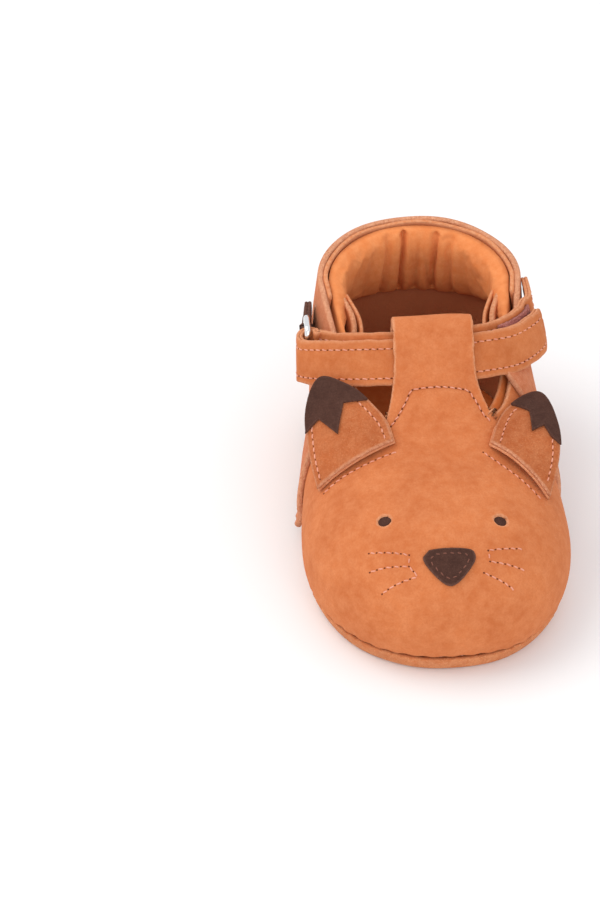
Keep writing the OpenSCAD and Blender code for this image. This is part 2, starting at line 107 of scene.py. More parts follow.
def form_grid(cols, low_z, rows, start=0.0):
    """Points (column, row, xyz) down each column from the ridge to the height low_z, evenly spaced
    along the column. start leaves out that share of the column at its top."""
    th = np.linspace(0, np.pi / 2, 300)
    zl = np.linspace(WIDEST_Z, low_z, 40)[1:]
    r = np.concatenate([np.sin(th) ** 0.8, 0.9 + 0.1 * np.sin(np.pi / 2 * np.maximum(zl, 0) / WIDEST_Z)])
    up = np.concatenate([(1 - r[:300] ** 2.5) ** (1 / 2.2), np.zeros(39)])
    zz = WIDEST_Z + (cols[:, 4:5] - WIDEST_Z) * up
    zz[:, 300:] = zl
    yy = cols[:, :1] + cols[:, 2:3] * cols[:, 3:4] * r
    p = np.stack([cols[:, 1:2] * cols[:, 3:4] * r + toe_shift(yy), yy, zz], -1)
    arc = np.concatenate([np.zeros((len(cols), 1)), np.linalg.norm(np.diff(p, axis=1), axis=2).cumsum(1)], 1)
    q = np.linspace(start, 1, rows)
    return np.stack([np.stack([np.interp(q * s[-1], s, c[:, k]) for k in range(3)], -1) for s,
                     c in zip(arc, p)])


def grid_quads(nu, nv, closed=False):
    """Faces of a grid of nu by nv points, joined end to end along u if closed."""
    i, j = np.meshgrid(np.arange(nu if closed else nu - 1), np.arange(nv - 1), indexing="ij")
    i2 = (i + 1) % nu
    return np.stack([i * nv + j, i * nv + j + 1, i2 * nv + j + 1, i2 * nv + j], -1).reshape(-1, 4)


def weld(v, q, step=0.002):
    """Merges points closer than step."""
    _, first, back = np.unique(np.round(v / step).astype(np.int64), axis=0, return_index=True,
                               return_inverse=True)
    return v[first], back.reshape(-1)[q]


def drop_unused(v, q, *more):
    """Leaves out the points that no face uses; more holds arrays kept in step with the points."""
    used = np.unique(q)
    new = np.full(len(v), -1)
    new[used] = np.arange(len(used))
    return (v[used], new[q], *[m[used] for m in more])


def normals(v, q):
    """Unit normal of each point: the sum of its faces' diagonal cross products."""
    f = np.cross(v[q[:, 2]] - v[q[:, 0]], v[q[:, 3]] - v[q[:, 1]])
    n = np.zeros_like(v)
    for k in range(4):
        np.add.at(n, q[:, k], f)
    return n / np.maximum(np.linalg.norm(n, axis=1, keepdims=True), 1e-9)


def open_edges(q, count):
    """The directed edges that only one face uses."""
    e = np.concatenate([q[:, [k, (k + 1) % 4]] for k in range(4)])
    e = e[e[:, 0] != e[:, 1]]
    key = e.min(1) * count + e.max(1)
    _, back, n = np.unique(key, return_inverse=True, return_counts=True)
    return e[n[back.reshape(-1)] == 1]


def shell(v, q, thick, bulge=0.28, steps=3):
    """A closed piece of leather from its outer face: the inner face lies thick below it, and the cut
    edge between them bulges by bulge times the thickness. Returns points, faces and, for each point,
    how much of a cut edge (0 to 1) and how much of the flesh side (0 to 1) it is."""
    thick = np.broadcast_to(np.asarray(thick, float), (len(v),))
    n = normals(v, q)
    inner = v - n * thick[:, None]
    e = open_edges(q, len(v))
    mid = v[q].mean(1)
    out = np.zeros_like(v)
    for k in range(4):
        np.add.at(out, q[:, k], v[q[:, k]] - mid)
    out -= n * (out * n).sum(1, keepdims=True)
    out /= np.maximum(np.linalg.norm(out, axis=1, keepdims=True), 1e-9)
    ring = np.unique(e)
    place = np.full(len(v), -1)
    place[ring] = np.arange(len(ring))
    points, faces, at = [v, inner], [q, q[:, ::-1] + len(v)], 2 * len(v)
    last = ring
    for k in range(1, steps + 2):
        f = k / (steps + 1)
        if k <= steps:
            points.append(v[ring] * (1 - f) + inner[ring] * f
                          + out[ring] * (bulge * thick[ring] * math.sin(math.pi * f))[:, None])
            this = at + np.arange(len(ring))
            at += len(ring)
        else:
            this = ring + len(v)
        a, b = place[e[:, 0]], place[e[:, 1]]
        faces.append(np.stack([last[b], last[a], this[a], this[b]], 1))
        last = this
    total = np.concatenate(points)
    edge, flesh = np.zeros(len(total)), np.zeros(len(total))
    edge[2 * len(v):] = 1.0
    edge[ring] = edge[ring + len(v)] = 0.7
    flesh[len(v):2 * len(v)] = 1.0
    return total, np.concatenate(faces), edge, flesh


def put(name, v, q, material, smooth_shaded=True, **attributes):
    """Makes the mesh object, in metres at the origin. Faces may be squares with a doubled corner."""
    q = np.asarray(q)
    if q.shape[1] == 4:
        keep = np.ones(q.shape, bool)
        for k in range(4):
            keep[:, k] = q[:, k] != q[:, (k + 1) % 4]
        total = keep.sum(1)
        keep, total, q = keep[total > 2], total[total > 2], q[total > 2]
        loops = q[keep]
    else:
        total, loops = np.full(len(q), 3), q.reshape(-1)
    mesh = bpy.data.meshes.new(name)
    mesh.vertices.add(len(v))
    mesh.vertices.foreach_set("co", (np.asarray(v) * 0.001).astype(np.float32).reshape(-1))
    mesh.loops.add(len(loops))
    mesh.loops.foreach_set("vertex_index", loops.astype(np.int32))
    mesh.polygons.add(len(total))
    mesh.polygons.foreach_set("loop_start", np.concatenate([[0], np.cumsum(total)[:-1]]).astype(np.int32))
    mesh.polygons.foreach_set("loop_total", total.astype(np.int32))
    mesh.update(calc_edges=True)
    mesh.validate()
    mesh.polygons.foreach_set("use_smooth", np.full(len(mesh.polygons), smooth_shaded))
    for key, values in attributes.items():
        mesh.attributes.new(key, "FLOAT", "POINT").data.foreach_set("value", np.asarray(values, np.float32))
    mesh.materials.append(material)
    obj = bpy.data.objects.new(name, mesh)
    bpy.context.scene.collection.objects.link(obj)
    return obj


def fit(piece, body, slot, *nodes):
    """A finished piece rides on its body and stands for its CAD nodes; slot is not used."""
    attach(piece, body)
    if nodes:
        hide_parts(*nodes)


def srgb(r, g, b):
    """A linear colour from 0 to 255 values as a screen shows them."""
    c = np.array([r, g, b]) / 255.0
    return tuple(np.where(c <= 0.04045, c / 12.92, ((c + 0.055) / 1.055) ** 2.4)) + (1.0,)


def link(tree, a, b):
    """Joins an output socket to an input socket."""
    tree.links.new(a, b)


def leather_group():
    """Node group: the colour and height of matt leather at a point. Cloudy mottling, a short nap and
    fine grain; cut edges and flesh sides turn to their own colour and are rougher."""
    g = bpy.data.node_groups.new("leather tone", "ShaderNodeTree")
    face = g.interface
    for name, kind, value in (("Base", "NodeSocketColor", (0.5, 0.2, 0.1, 1)),
                              ("Dark", "NodeSocketColor", (0.4, 0.1, 0.05, 1)),
                              ("Light", "NodeSocketColor", (0.6, 0.3, 0.2, 1)),
                              ("Edge colour", "NodeSocketColor", (0.6, 0.3, 0.2, 1)),
                              ("Flesh colour", "NodeSocketColor", (0.5, 0.2, 0.1, 1)),
                              ("Mottle", "NodeSocketFloat", 0.5),
                              ("Grain", "NodeSocketFloat", 0.5), ("Fleck", "NodeSocketFloat", 0.0),
                              ("Edge", "NodeSocketFloat", 0.0), ("Flesh", "NodeSocketFloat", 0.0)):
        face.new_socket(name=name, in_out="INPUT", socket_type=kind).default_value = value
    face.new_socket(name="Color", in_out="OUTPUT", socket_type="NodeSocketColor")
    face.new_socket(name="Height", in_out="OUTPUT", socket_type="NodeSocketFloat")
    node = g.nodes.new
    i, o = node("NodeGroupInput"), node("NodeGroupOutput")
    co = node("ShaderNodeTexCoord")

    def noise(scale, detail, rough=0.55):
        """A noise of that scale per metre."""
        n = node("ShaderNodeTexNoise")
        n.inputs["Scale"].default_value = scale
        n.inputs["Detail"].default_value = detail
        n.inputs["Roughness"].default_value = rough
        link(g, co.outputs["Object"], n.inputs["Vector"])
        return n.outputs["Fac"]

    def ramp(source, low, high):
        """The source stretched so that low becomes 0 and high 1."""
        m = node("ShaderNodeMapRange")
        m.inputs["From Min"].default_value = low
        m.inputs["From Max"].default_value = high
        link(g, source, m.inputs["Value"])
        return m.outputs["Result"]

    def maths(kind, a, b):
        """One math node; a and b are sockets or numbers."""
        m = node("ShaderNodeMath")
        m.operation = kind
        for k, s in ((0, a), (1, b)):
            if isinstance(s, (int, float)):
                m.inputs[k].default_value = s
            else:
                link(g, s, m.inputs[k])
        return m.outputs[0]

    def mix(fac, a, b):
        """Colour a turned to colour b by fac."""
        m = node("ShaderNodeMix")
        m.data_type = "RGBA"
        link(g, fac, m.inputs[0])
        link(g, a, m.inputs[6])
        link(g, b, m.inputs[7])
        return m.outputs[2]

    cloud = ramp(noise(75, 3, 0.6), 0.36, 0.66)
    patch = ramp(noise(420, 3, 0.6), 0.34, 0.68)
    nap = ramp(noise(1900, 2, 0.7), 0.3, 0.72)
    fine = noise(5200, 2, 0.6)
    tone = mix(maths("MULTIPLY", maths("SUBTRACT", 1.0, cloud), i.outputs["Mottle"]), i.outputs["Base"],
               i.outputs["Dark"])
    tone = mix(maths("MULTIPLY", maths("MULTIPLY", patch, i.outputs["Mottle"]), 0.62), tone,
               i.outputs["Light"])
    tone = mix(maths("MULTIPLY", maths("SUBTRACT", 1.0, nap), maths("MULTIPLY", i.outputs["Grain"], 0.5)),
               tone, i.outputs["Dark"])
    fleck = ramp(noise(2600, 1, 0.5), 0.6, 0.72)
    tone = mix(maths("MULTIPLY", fleck, i.outputs["Fleck"]), tone, i.outputs["Light"])
    tone = mix(i.outputs["Flesh"], tone, i.outputs["Flesh colour"])
    streak = ramp(noise(1300, 3, 0.7), 0.35, 0.62)
    tone = mix(maths("MULTIPLY", i.outputs["Edge"], maths("ADD", 0.35, maths("MULTIPLY", streak, 0.65))),
               tone, i.outputs["Edge colour"])
    link(g, tone, o.inputs["Color"])
    rough = maths("ADD", maths("MULTIPLY", nap, 0.55), maths("MULTIPLY", fine, 0.45))
    worn = maths("MULTIPLY", maths("ADD", i.outputs["Edge"], i.outputs["Flesh"]), 0.9)
    link(g, maths("ADD", maths("MULTIPLY", rough, i.outputs["Grain"]), maths("MULTIPLY", streak, worn)),
         o.inputs["Height"])
    return g


LEATHER_TONE = leather_group()


def leather(name, base, dark, light, edge=None, flesh=None, mottle=0.6, grain=0.6, fleck=0.0, bump=0.00012,
            rough=0.86, sheen=0.25):
    """A leather material: the tone group into a rough Principled with a little nap sheen."""
    m = bpy.data.materials.new(name)
    m.use_nodes = True
    t = m.node_tree
    t.nodes.clear()
    g = t.nodes.new("ShaderNodeGroup")
    g.node_tree = LEATHER_TONE
    for key, value in (("Base", base), ("Dark", dark), ("Light", light), ("Edge colour", edge or light),
                       ("Flesh colour", flesh or dark), ("Mottle", mottle), ("Grain", grain),
                       ("Fleck", fleck)):
        g.inputs[key].default_value = value
    for key, socket in (("edge", "Edge"), ("flesh", "Flesh")):
        a = t.nodes.new("ShaderNodeAttribute")
        a.attribute_name = key
        link(t, a.outputs["Fac"], g.inputs[socket])
    b = t.nodes.new("ShaderNodeBump")
    b.inputs["Distance"].default_value = bump
    b.inputs["Strength"].default_value = 1.0
    link(t, g.outputs["Height"], b.inputs["Height"])
    p = t.nodes.new("ShaderNodeBsdfPrincipled")
    p.inputs["Roughness"].default_value = rough
    p.inputs["Specular IOR Level"].default_value = 0.18
    p.inputs["Sheen Weight"].default_value = sheen
    p.inputs["Sheen Roughness"].default_value = 0.5
    p.inputs["Sheen Tint"].default_value = light
    link(t, g.outputs["Color"], p.inputs["Base Color"])
    link(t, b.outputs["Normal"], p.inputs["Normal"])
    out = t.nodes.new("ShaderNodeOutputMaterial")
    link(t, p.outputs["BSDF"], out.inputs["Surface"])
    return m


suede = leather("suede", srgb(218, 130, 78), srgb(180, 98, 56), srgb(240, 178, 130), edge=srgb(226, 158, 112),
                mottle=0.75, grain=1.0, fleck=0.5, bump=0.00022, rough=0.95)

sole_cols = columns(0.0, 190, 90, 90)
wall = np.linspace(0, 1, 15)
profile_z = np.concatenate([[0, 0, 0, 0.0, 0.12, 0.4], 0.4 + 4.1 * wall[1:],
                            [4.85, 4.95, 4.7, 3.6, 2.3, 2.2, 2.2]])
profile_r = np.concatenate([[0, 0.4, 0.8, 0.885, 0.897, 0.903],
                            0.9 + 0.1 * np.sin(np.pi / 2 * (0.4 + 4.1 * wall[1:]) / 12)
                            + 0.004, [0.957, 0.942, 0.925, 0.9, 0.88, 0.5, 0.0]])
reach = sole_cols[:, 3:4] * profile_r
sole_y = sole_cols[:, :1] + sole_cols[:, 2:3] * reach
sole = np.stack([sole_cols[:, 1:2] * reach + toe_shift(sole_y), sole_y,
                 np.broadcast_to(profile_z, reach.shape)], -1)
around = np.concatenate([[0], np.linalg.norm(np.diff(sole[:, 12, :2], axis=0), axis=1).cumsum()])
pucker = np.sin(around * 2 * np.pi / 2.6 + 1.5 * np.sin(around / 9.0))[:, None] * 0.5 + 0.5
near_seam = np.exp(-((profile_z
                      - 4.9) / 1.1) ** 2) * (np.arange(len(profile_z)) > 5) * (np.arange(len(profile_z)) < 24)
sole[..., :2] -= (sole_cols[:, None, 1:3] * (0.3 * pucker * near_seam)[..., None])
soft = np.sin(around / 7.3)[:, None] * 0.12 + np.sin(around / 3.1 + 1.0)[:, None] * 0.06
sole[..., :2] += sole_cols[:, None, 1:3] * (soft * (profile_r > 0.89))[..., None]
v, q = weld(sole.reshape(-1, 3), grid_quads(len(sole_cols), len(profile_z), closed=True)[:, ::-1])
outsole = put("suede_outsole", v, q, suede)
fit(outsole, "bootie", "suede", "outsole")

# ------------------------------------------------------------------------------------------------
# 2 Seam between sole and upper. Waxed thread in short slanting stitches, down in the groove that the
# two turned-in edges leave.
# ------------------------------------------------------------------------------------------------


def along(line, pitch, start=0.5):
    """Points every pitch along a polyline, with the unit direction at each. start is the first one's
    share of a pitch."""
    seg = np.linalg.norm(np.diff(line, axis=0), axis=1)
    s = np.concatenate([[0], seg.cumsum()])
    n = max(1, int(round(s[-1] / pitch)))
    at = (np.arange(n) + start) * s[-1] / n
    p = np.stack([np.interp(at, s, line[:, k]) for k in range(3)], 1)
    ahead = np.stack([np.interp(at + 0.05, s, line[:, k]) for k in range(3)], 1)
    back = np.stack([np.interp(at - 0.05, s, line[:, k]) for k in range(3)], 1)
    t = ahead - back
    return p, t / np.linalg.norm(t, axis=1, keepdims=True)


def upright(up, p, t):
    """The surface normal at each of the points p, square to their directions t; up is one normal for
    the line, or a list that is spread evenly over it."""
    up = np.asarray(up, float)
    if up.ndim == 2:
        s = np.linspace(0, 1, len(up))
        up = np.stack([np.interp(np.linspace(0, 1, len(p)), s, up[:, k]) for k in range(3)], 1)
    up = up - t * (up * t).sum(1, keepdims=True)
    return up / np.linalg.norm(up, axis=1, keepdims=True)


def tube_quads(rings, around):
    """Quads of a tube whose points run ring after ring."""
    i, j = np.meshgrid(np.arange(rings - 1), np.arange(around), indexing="ij")
    k = (j + 1) % around
    return np.stack([i * around + j, i * around + k, (i + 1) * around + k, (i + 1) * around + j],
                    -1).reshape(-1, 4)


def stitches(line, up, pitch=1.9, length=1.35, radius=0.19, rise=0.05, slant=10.0, seed=1):
    """Lockstitches along a line of points: each a short bent thread whose ends dip into the leather.
    up is the surface normal, one for the line or one a point. Returns points and faces."""
    rng = np.random.default_rng(seed)
    p, t = along(line, pitch)
    up = upright(up, p, t)
    side = np.cross(t, up)
    turn = np.radians(slant + rng.uniform(-6, 6, len(p)))[:, None]
    d = t * np.cos(turn) + side * np.sin(turn)
    e = np.cross(d, up)
    k = np.linspace(-1, 1, 9)
    body = np.sqrt(np.clip(1 - k**4, 0, 1)) * radius
    a = np.arange(7) * 2 * np.pi / 7
    size = (length * rng.uniform(0.9, 1.1, len(p)))[:, None, None, None]
    lift = rise - 0.42 * radius * k**2 * 2.2
    ring = np.stack([np.broadcast_to(k[:, None], (9, 7)), body[:, None] * np.cos(a),
                     lift[:, None] + body[:, None] * np.sin(a)], -1)
    v = (p[:, None, None] + ring[None, :, :, :1] * size / 2 * d[:, None, None]
         + ring[None, :, :, 1:2] * e[:, None, None] + ring[None, :, :, 2:] * up[:, None, None])
    one = tube_quads(9, 7)
    q = (one[None] + (np.arange(len(p)) * 63)[:, None, None]).reshape(-1, 4)
    return v.reshape(-1, 3), q


def needle_holes(line, up, pitch=1.9, radius=0.27):
    """Painted shade of the needle holes between lockstitches: flat dark beads sunk in the leather."""
    p, t = along(line, pitch, start=0.0)
    up = upright(up, p, t)
    side = np.cross(t, up)
    a = np.arange(10) * 2 * np.pi / 10
    rings = [(1.0, -0.1), (0.8, 0.03), (0.35, 0.055), (0.0, 0.06)]
    v = np.stack([np.stack([r * radius * np.cos(a), r * radius * np.sin(a) * 0.8, np.full(10, h)], -1)
                  for r, h in rings])
    v = (p[:, None, None] + v[None, ..., :1] * t[:, None, None] + v[None, ..., 1:2] * side[:, None, None]
         + v[None, ..., 2:] * up[:, None, None])
    one = tube_quads(4, 10)
    return v.reshape(-1, 3), (one[None] + (np.arange(len(p)) * 40)[:, None, None]).reshape(-1, 4)


def merge(parts):
    """Joins (points, faces) pairs into one pair."""
    at, vs, qs = 0, [], []
    for v, q in parts:
        vs.append(v)
        qs.append(q + at)
        at += len(v)
    return np.concatenate(vs), np.concatenate(qs)


thread = leather("thread", srgb(226, 158, 132), srgb(196, 122, 96), srgb(240, 184, 160), mottle=0.5,
                 grain=0.6, bump=0.00008, rough=0.7)
# The needle holes' darkness is painted shade: a dark brown on flat beads where the holes are.
hole_shade_mat = leather("needle holes", srgb(112, 56, 36), srgb(80, 38, 26), srgb(130, 70, 46), mottle=0.4,
                   rough=0.95)
ring = sole[:, 13, :] * np.array([1, 1, 0]) + np.array([0, 0, 5.25])
ring[:, :2] -= sole_cols[:, 1:3] * 0.75
loop = np.concatenate([ring, ring[:1]])
out = np.concatenate([sole_cols[:, 1:3], np.full((len(sole_cols), 1), 0.35)], 1)
v, q = stitches(loop, np.concatenate([out, out[:1]]), pitch=2.6, length=1.9, radius=0.3, slant=24, seed=3)
sole_thread = put("sole_seam_thread", v, q, thread)
fit(sole_thread, "bootie", "thread", "sole_seam")

# ------------------------------------------------------------------------------------------------
# 3 Midsole foam and insole. Soft foam glued to the sole, and a thin smooth leather insole on it.
# ------------------------------------------------------------------------------------------------
lining_leather = leather("lining leather", srgb(206, 108, 48), srgb(180, 84, 34), srgb(222, 138, 82),
                         edge=srgb(216, 150, 108),
                         flesh=srgb(186, 112, 74), mottle=0.55, grain=0.4, bump=0.00008, rough=0.8)
foam_mat = leather("foam", srgb(235, 225, 200), srgb(215, 205, 180), srgb(245, 238, 220), mottle=0.3,
                   grain=1.0, bump=0.0003)


def cushion_plate(name, z0, z1, inset, material, seed):
    """A plate of the sole's outline, inset, with rolled edges and a slightly uneven top."""
    cols = columns(-inset, 96, 48, 48)
    low = 0.9 + 0.1 * math.sin(math.pi / 2 * z0 / WIDEST_Z)
    h = z1 - z0
    r = np.array([0, 0.5, 0.9, 0.985, 1.0, 1.0, 0.985, 0.9, 0.7, 0.45, 0.2, 0])
    z = np.array([z0, z0, z0, z0 + 0.05, z0 + 0.25 * h, z1 - 0.25 * h, z1 - 0.05, z1, z1, z1, z1, z1])
    reach = cols[:, 3:4] * r * low
    y = cols[:, :1] + cols[:, 2:3] * reach
    p = np.stack([cols[:, 1:2] * reach + toe_shift(y), y, np.broadcast_to(z, reach.shape)], -1)
    p[:, 6:, 2] += 0.12 * np.sin(p[:, 6:, 0] / 5 + seed) * np.sin(p[:, 6:, 1] / 7)
    v, q = weld(p.reshape(-1, 3), grid_quads(len(cols), len(r), closed=True)[:, ::-1])
    return put(name, v, q, material)


foam_plate = cushion_plate("midsole_foam_pad", 2.3, 4.8, 4.6, foam_mat, 1)
fit(foam_plate, "bootie", "foam", "midsole_foam")
insole = cushion_plate("leather_insole", 4.95, 6.4, 1.75, lining_leather, 2)
fit(insole, "bootie", "lining_leather", "insole")

# ------------------------------------------------------------------------------------------------
# 4 Vamp. One piece of orange-tan nubuck: the toe, two wings that run back inside the quarter, and
# the T-bar, folded back at its top and sewn down with a trapezoid seam, so that it makes a loop
# for the strap. The eyes are punched through it.
# ------------------------------------------------------------------------------------------------


def spline(points, n):
    """Catmull-Rom curve through the points, n steps a span."""
    p = np.asarray(points, float)
    p = np.concatenate([[2 * p[0] - p[1]], p, [2 * p[-1] - p[-2]]])
    t = np.arange(n)[:, None] / n
    spans = [0.5 * (2 * b + (c - a) * t + (2 * a - 5 * b + 4 * c - d) * t * t + (3 * b - a - 3 * c + d)
                    * t**3)
             for a, b, c, d in zip(p[:-3], p[1:-2], p[2:-1], p[3:])]
    return np.concatenate(spans + [p[-2:-1]])


def inside(uv, poly):
    """Which points of uv lie inside the polygon, by counting crossings."""
    x, y = uv[:, :1], uv[:, 1:]
    a, b = poly, np.roll(poly, -1, axis=0)
    cross = (a[:, 1] > y) != (b[:, 1] > y)
    with np.errstate(divide="ignore", invalid="ignore"):
        at = (b[:, 0] - a[:, 0]) * (y - a[:, 1]) / (b[:, 1] - a[:, 1]) + a[:, 0]
    return (cross & (x < at)).sum(1) % 2 == 1


def nearest(p, line):
    """The nearest point on a polyline for each point p, in two or three dimensions."""
    a, d = line[:-1], np.diff(line, axis=0)
    best, where = np.full(len(p), np.inf), np.zeros_like(p)
    for k in range(len(d)):
        t = np.clip(((p - a[k]) @ d[k]) / max((d[k] ** 2).sum(), 1e-12), 0, 1)
        c = a[k] + t[:, None] * d[k]
        s = ((p - c) ** 2).sum(1)
        closer = s < best
        best[closer], where[closer] = s[closer], c[closer]
    return where, np.sqrt(best)


def draw_to(v, n, which, axes, line, limit=1.6):
    """Moves the points in which along the surface onto a line drawn in two of the axes, where they
    are nearer to it than limit."""
    p = v[which][:, axes]
    where, far = nearest(p, line)
    g = np.zeros((len(p), 3))
    g[:, axes] = p - where
    size = np.linalg.norm(g, axis=1)
    g /= np.maximum(size, 1e-9)[:, None]
    nn = n[which]
    t = g - nn * (g * nn).sum(1, keepdims=True)
    t2 = np.maximum((t**2).sum(1), 0.12)
    move = -(np.minimum(size, 1.5) / t2)[:, None] * t
    v[which] += np.where((far < limit)[:, None], move, 0)


def relax(v, q, low_z, rounds=5, rim_too=True):
    """Evens out the points near the cut edges above low_z: each moves halfway to the mean of its
    neighbours, an edge point's neighbours being those along the edge."""
    e = open_edges(q, len(v))
    e = np.concatenate([e, e[:, ::-1]])
    inside_e = np.concatenate([np.concatenate([q[:, [k, (k + 1) % 4]],
                                               q[:, [(k + 1) % 4, k]]]) for k in range(4)])
    inside_e = inside_e[inside_e[:, 0] != inside_e[:, 1]]
    rim = np.zeros(len(v), bool)
    rim[e] = True
    near = rim & (v[:, 2] > low_z + 1.5)
    for _ in range(3):
        near[np.unique(q[near[q].any(1)])] = True
    inside_e = inside_e[near[inside_e[:, 0]]]
    for _ in range(rounds):
        for edges, which in ((e, near & rim), (inside_e, near & ~rim)):
            if edges is e and not rim_too:
                continue
            total, count = np.zeros_like(v), np.zeros(len(v))
            np.add.at(total, edges[:, 0], v[edges[:, 1]])
            np.add.at(count, edges[:, 0], 1)
            mean = total / np.maximum(count, 1)[:, None]
            v[which] += 0.5 * (mean - v)[which]


def press(v, n, line, depth, width):
    """Presses a groove of that depth and width into a surface along a line of points in space."""
    lo, hi = line.min(0) - 3 * width, line.max(0) + 3 * width
    near = ((v > lo) & (v < hi)).all(1)
    _, far = nearest(v[near], line)
    v[near] -= n[near] * (depth * np.exp(-((far / width) ** 2)))[:, None]


nubuck = leather("nubuck", srgb(206, 120, 70), srgb(180, 94, 48), srgb(222, 146, 98),
                 edge=srgb(222, 158, 118),
                 flesh=srgb(196, 122, 80), mottle=0.62, grain=0.75, bump=0.00013)

TBAR = np.array([[-9, 38.88], [-7, 39.78], [-4.6, 41.5], [-2, 43.9], [0, 46.4], [3.4, 50.9], [6.8, 54.9],
                 [9.2, 56.9],
                 [11.6, 57.3], [14.2, 56], [15.3, 53.2], [14.2, 49.8], [10.1, 44.7], [5.6, 40.6],
                 [0.5, 37.4], [-5, 35.5]])
tbar_path = spline(TBAR, 14)[14:]
tbar_arc = np.concatenate([[0], np.linalg.norm(np.diff(tbar_path, axis=0), axis=1).cumsum()])
WING = spline([[-8.6, 38.2], [-2, 38.6], [4, 40.2], [10, 42.5], [18, 46.0], [26, 48.9], [32, 50.5],
               [34.6, 50.9]], 10)
WING_REAR = spline([[34.6, 50.9], [35.4, 50.1], [32.8, 47.2], [28.6, 44.4], [25.6, 41.6], [24.4, 37],
                    [24, 25], [24, 5]], 8)
wing_poly = np.concatenate([[[-30, 5]], [[-30, 38.2]], WING, WING_REAR[1:]])
LEFT_EDGE = spline([[-13.6, -8.0], [-12.7, -8.7], [-11.6, -7.2], [-10.4, -4.6], [-9.4, -1.2], [-8.9, 2],
                    [-8.8, 8], [-8.8, 40]], 8)
RIGHT_EDGE = spline([[17.6, -6.2], [16.6, -7.0], [15.2, -5.9], [13.4, -3.8], [11.9, -1], [11.2, 2], [11, 8],
                     [11, 40]], 8)
throat_poly = np.concatenate([[[-60, -70]], [[-60, -8.2]], LEFT_EDGE, RIGHT_EDGE[::-1], [[60, -6.4]],
                              [[60, -70]]])


def lean_in(v, which):
    """Leans the rear of the wings in over the front ends of the padded collar, up to 5.4 mm."""
    lean = smooth((v[:, 1] - 8) / 15) * (5.4 - 2.6
                                         * smooth((v[:, 1] - 24) / 12)) * smooth((v[:, 2] - 22) / 18)
    v[:, 0] -= np.sign(v[:, 0]) * lean * which


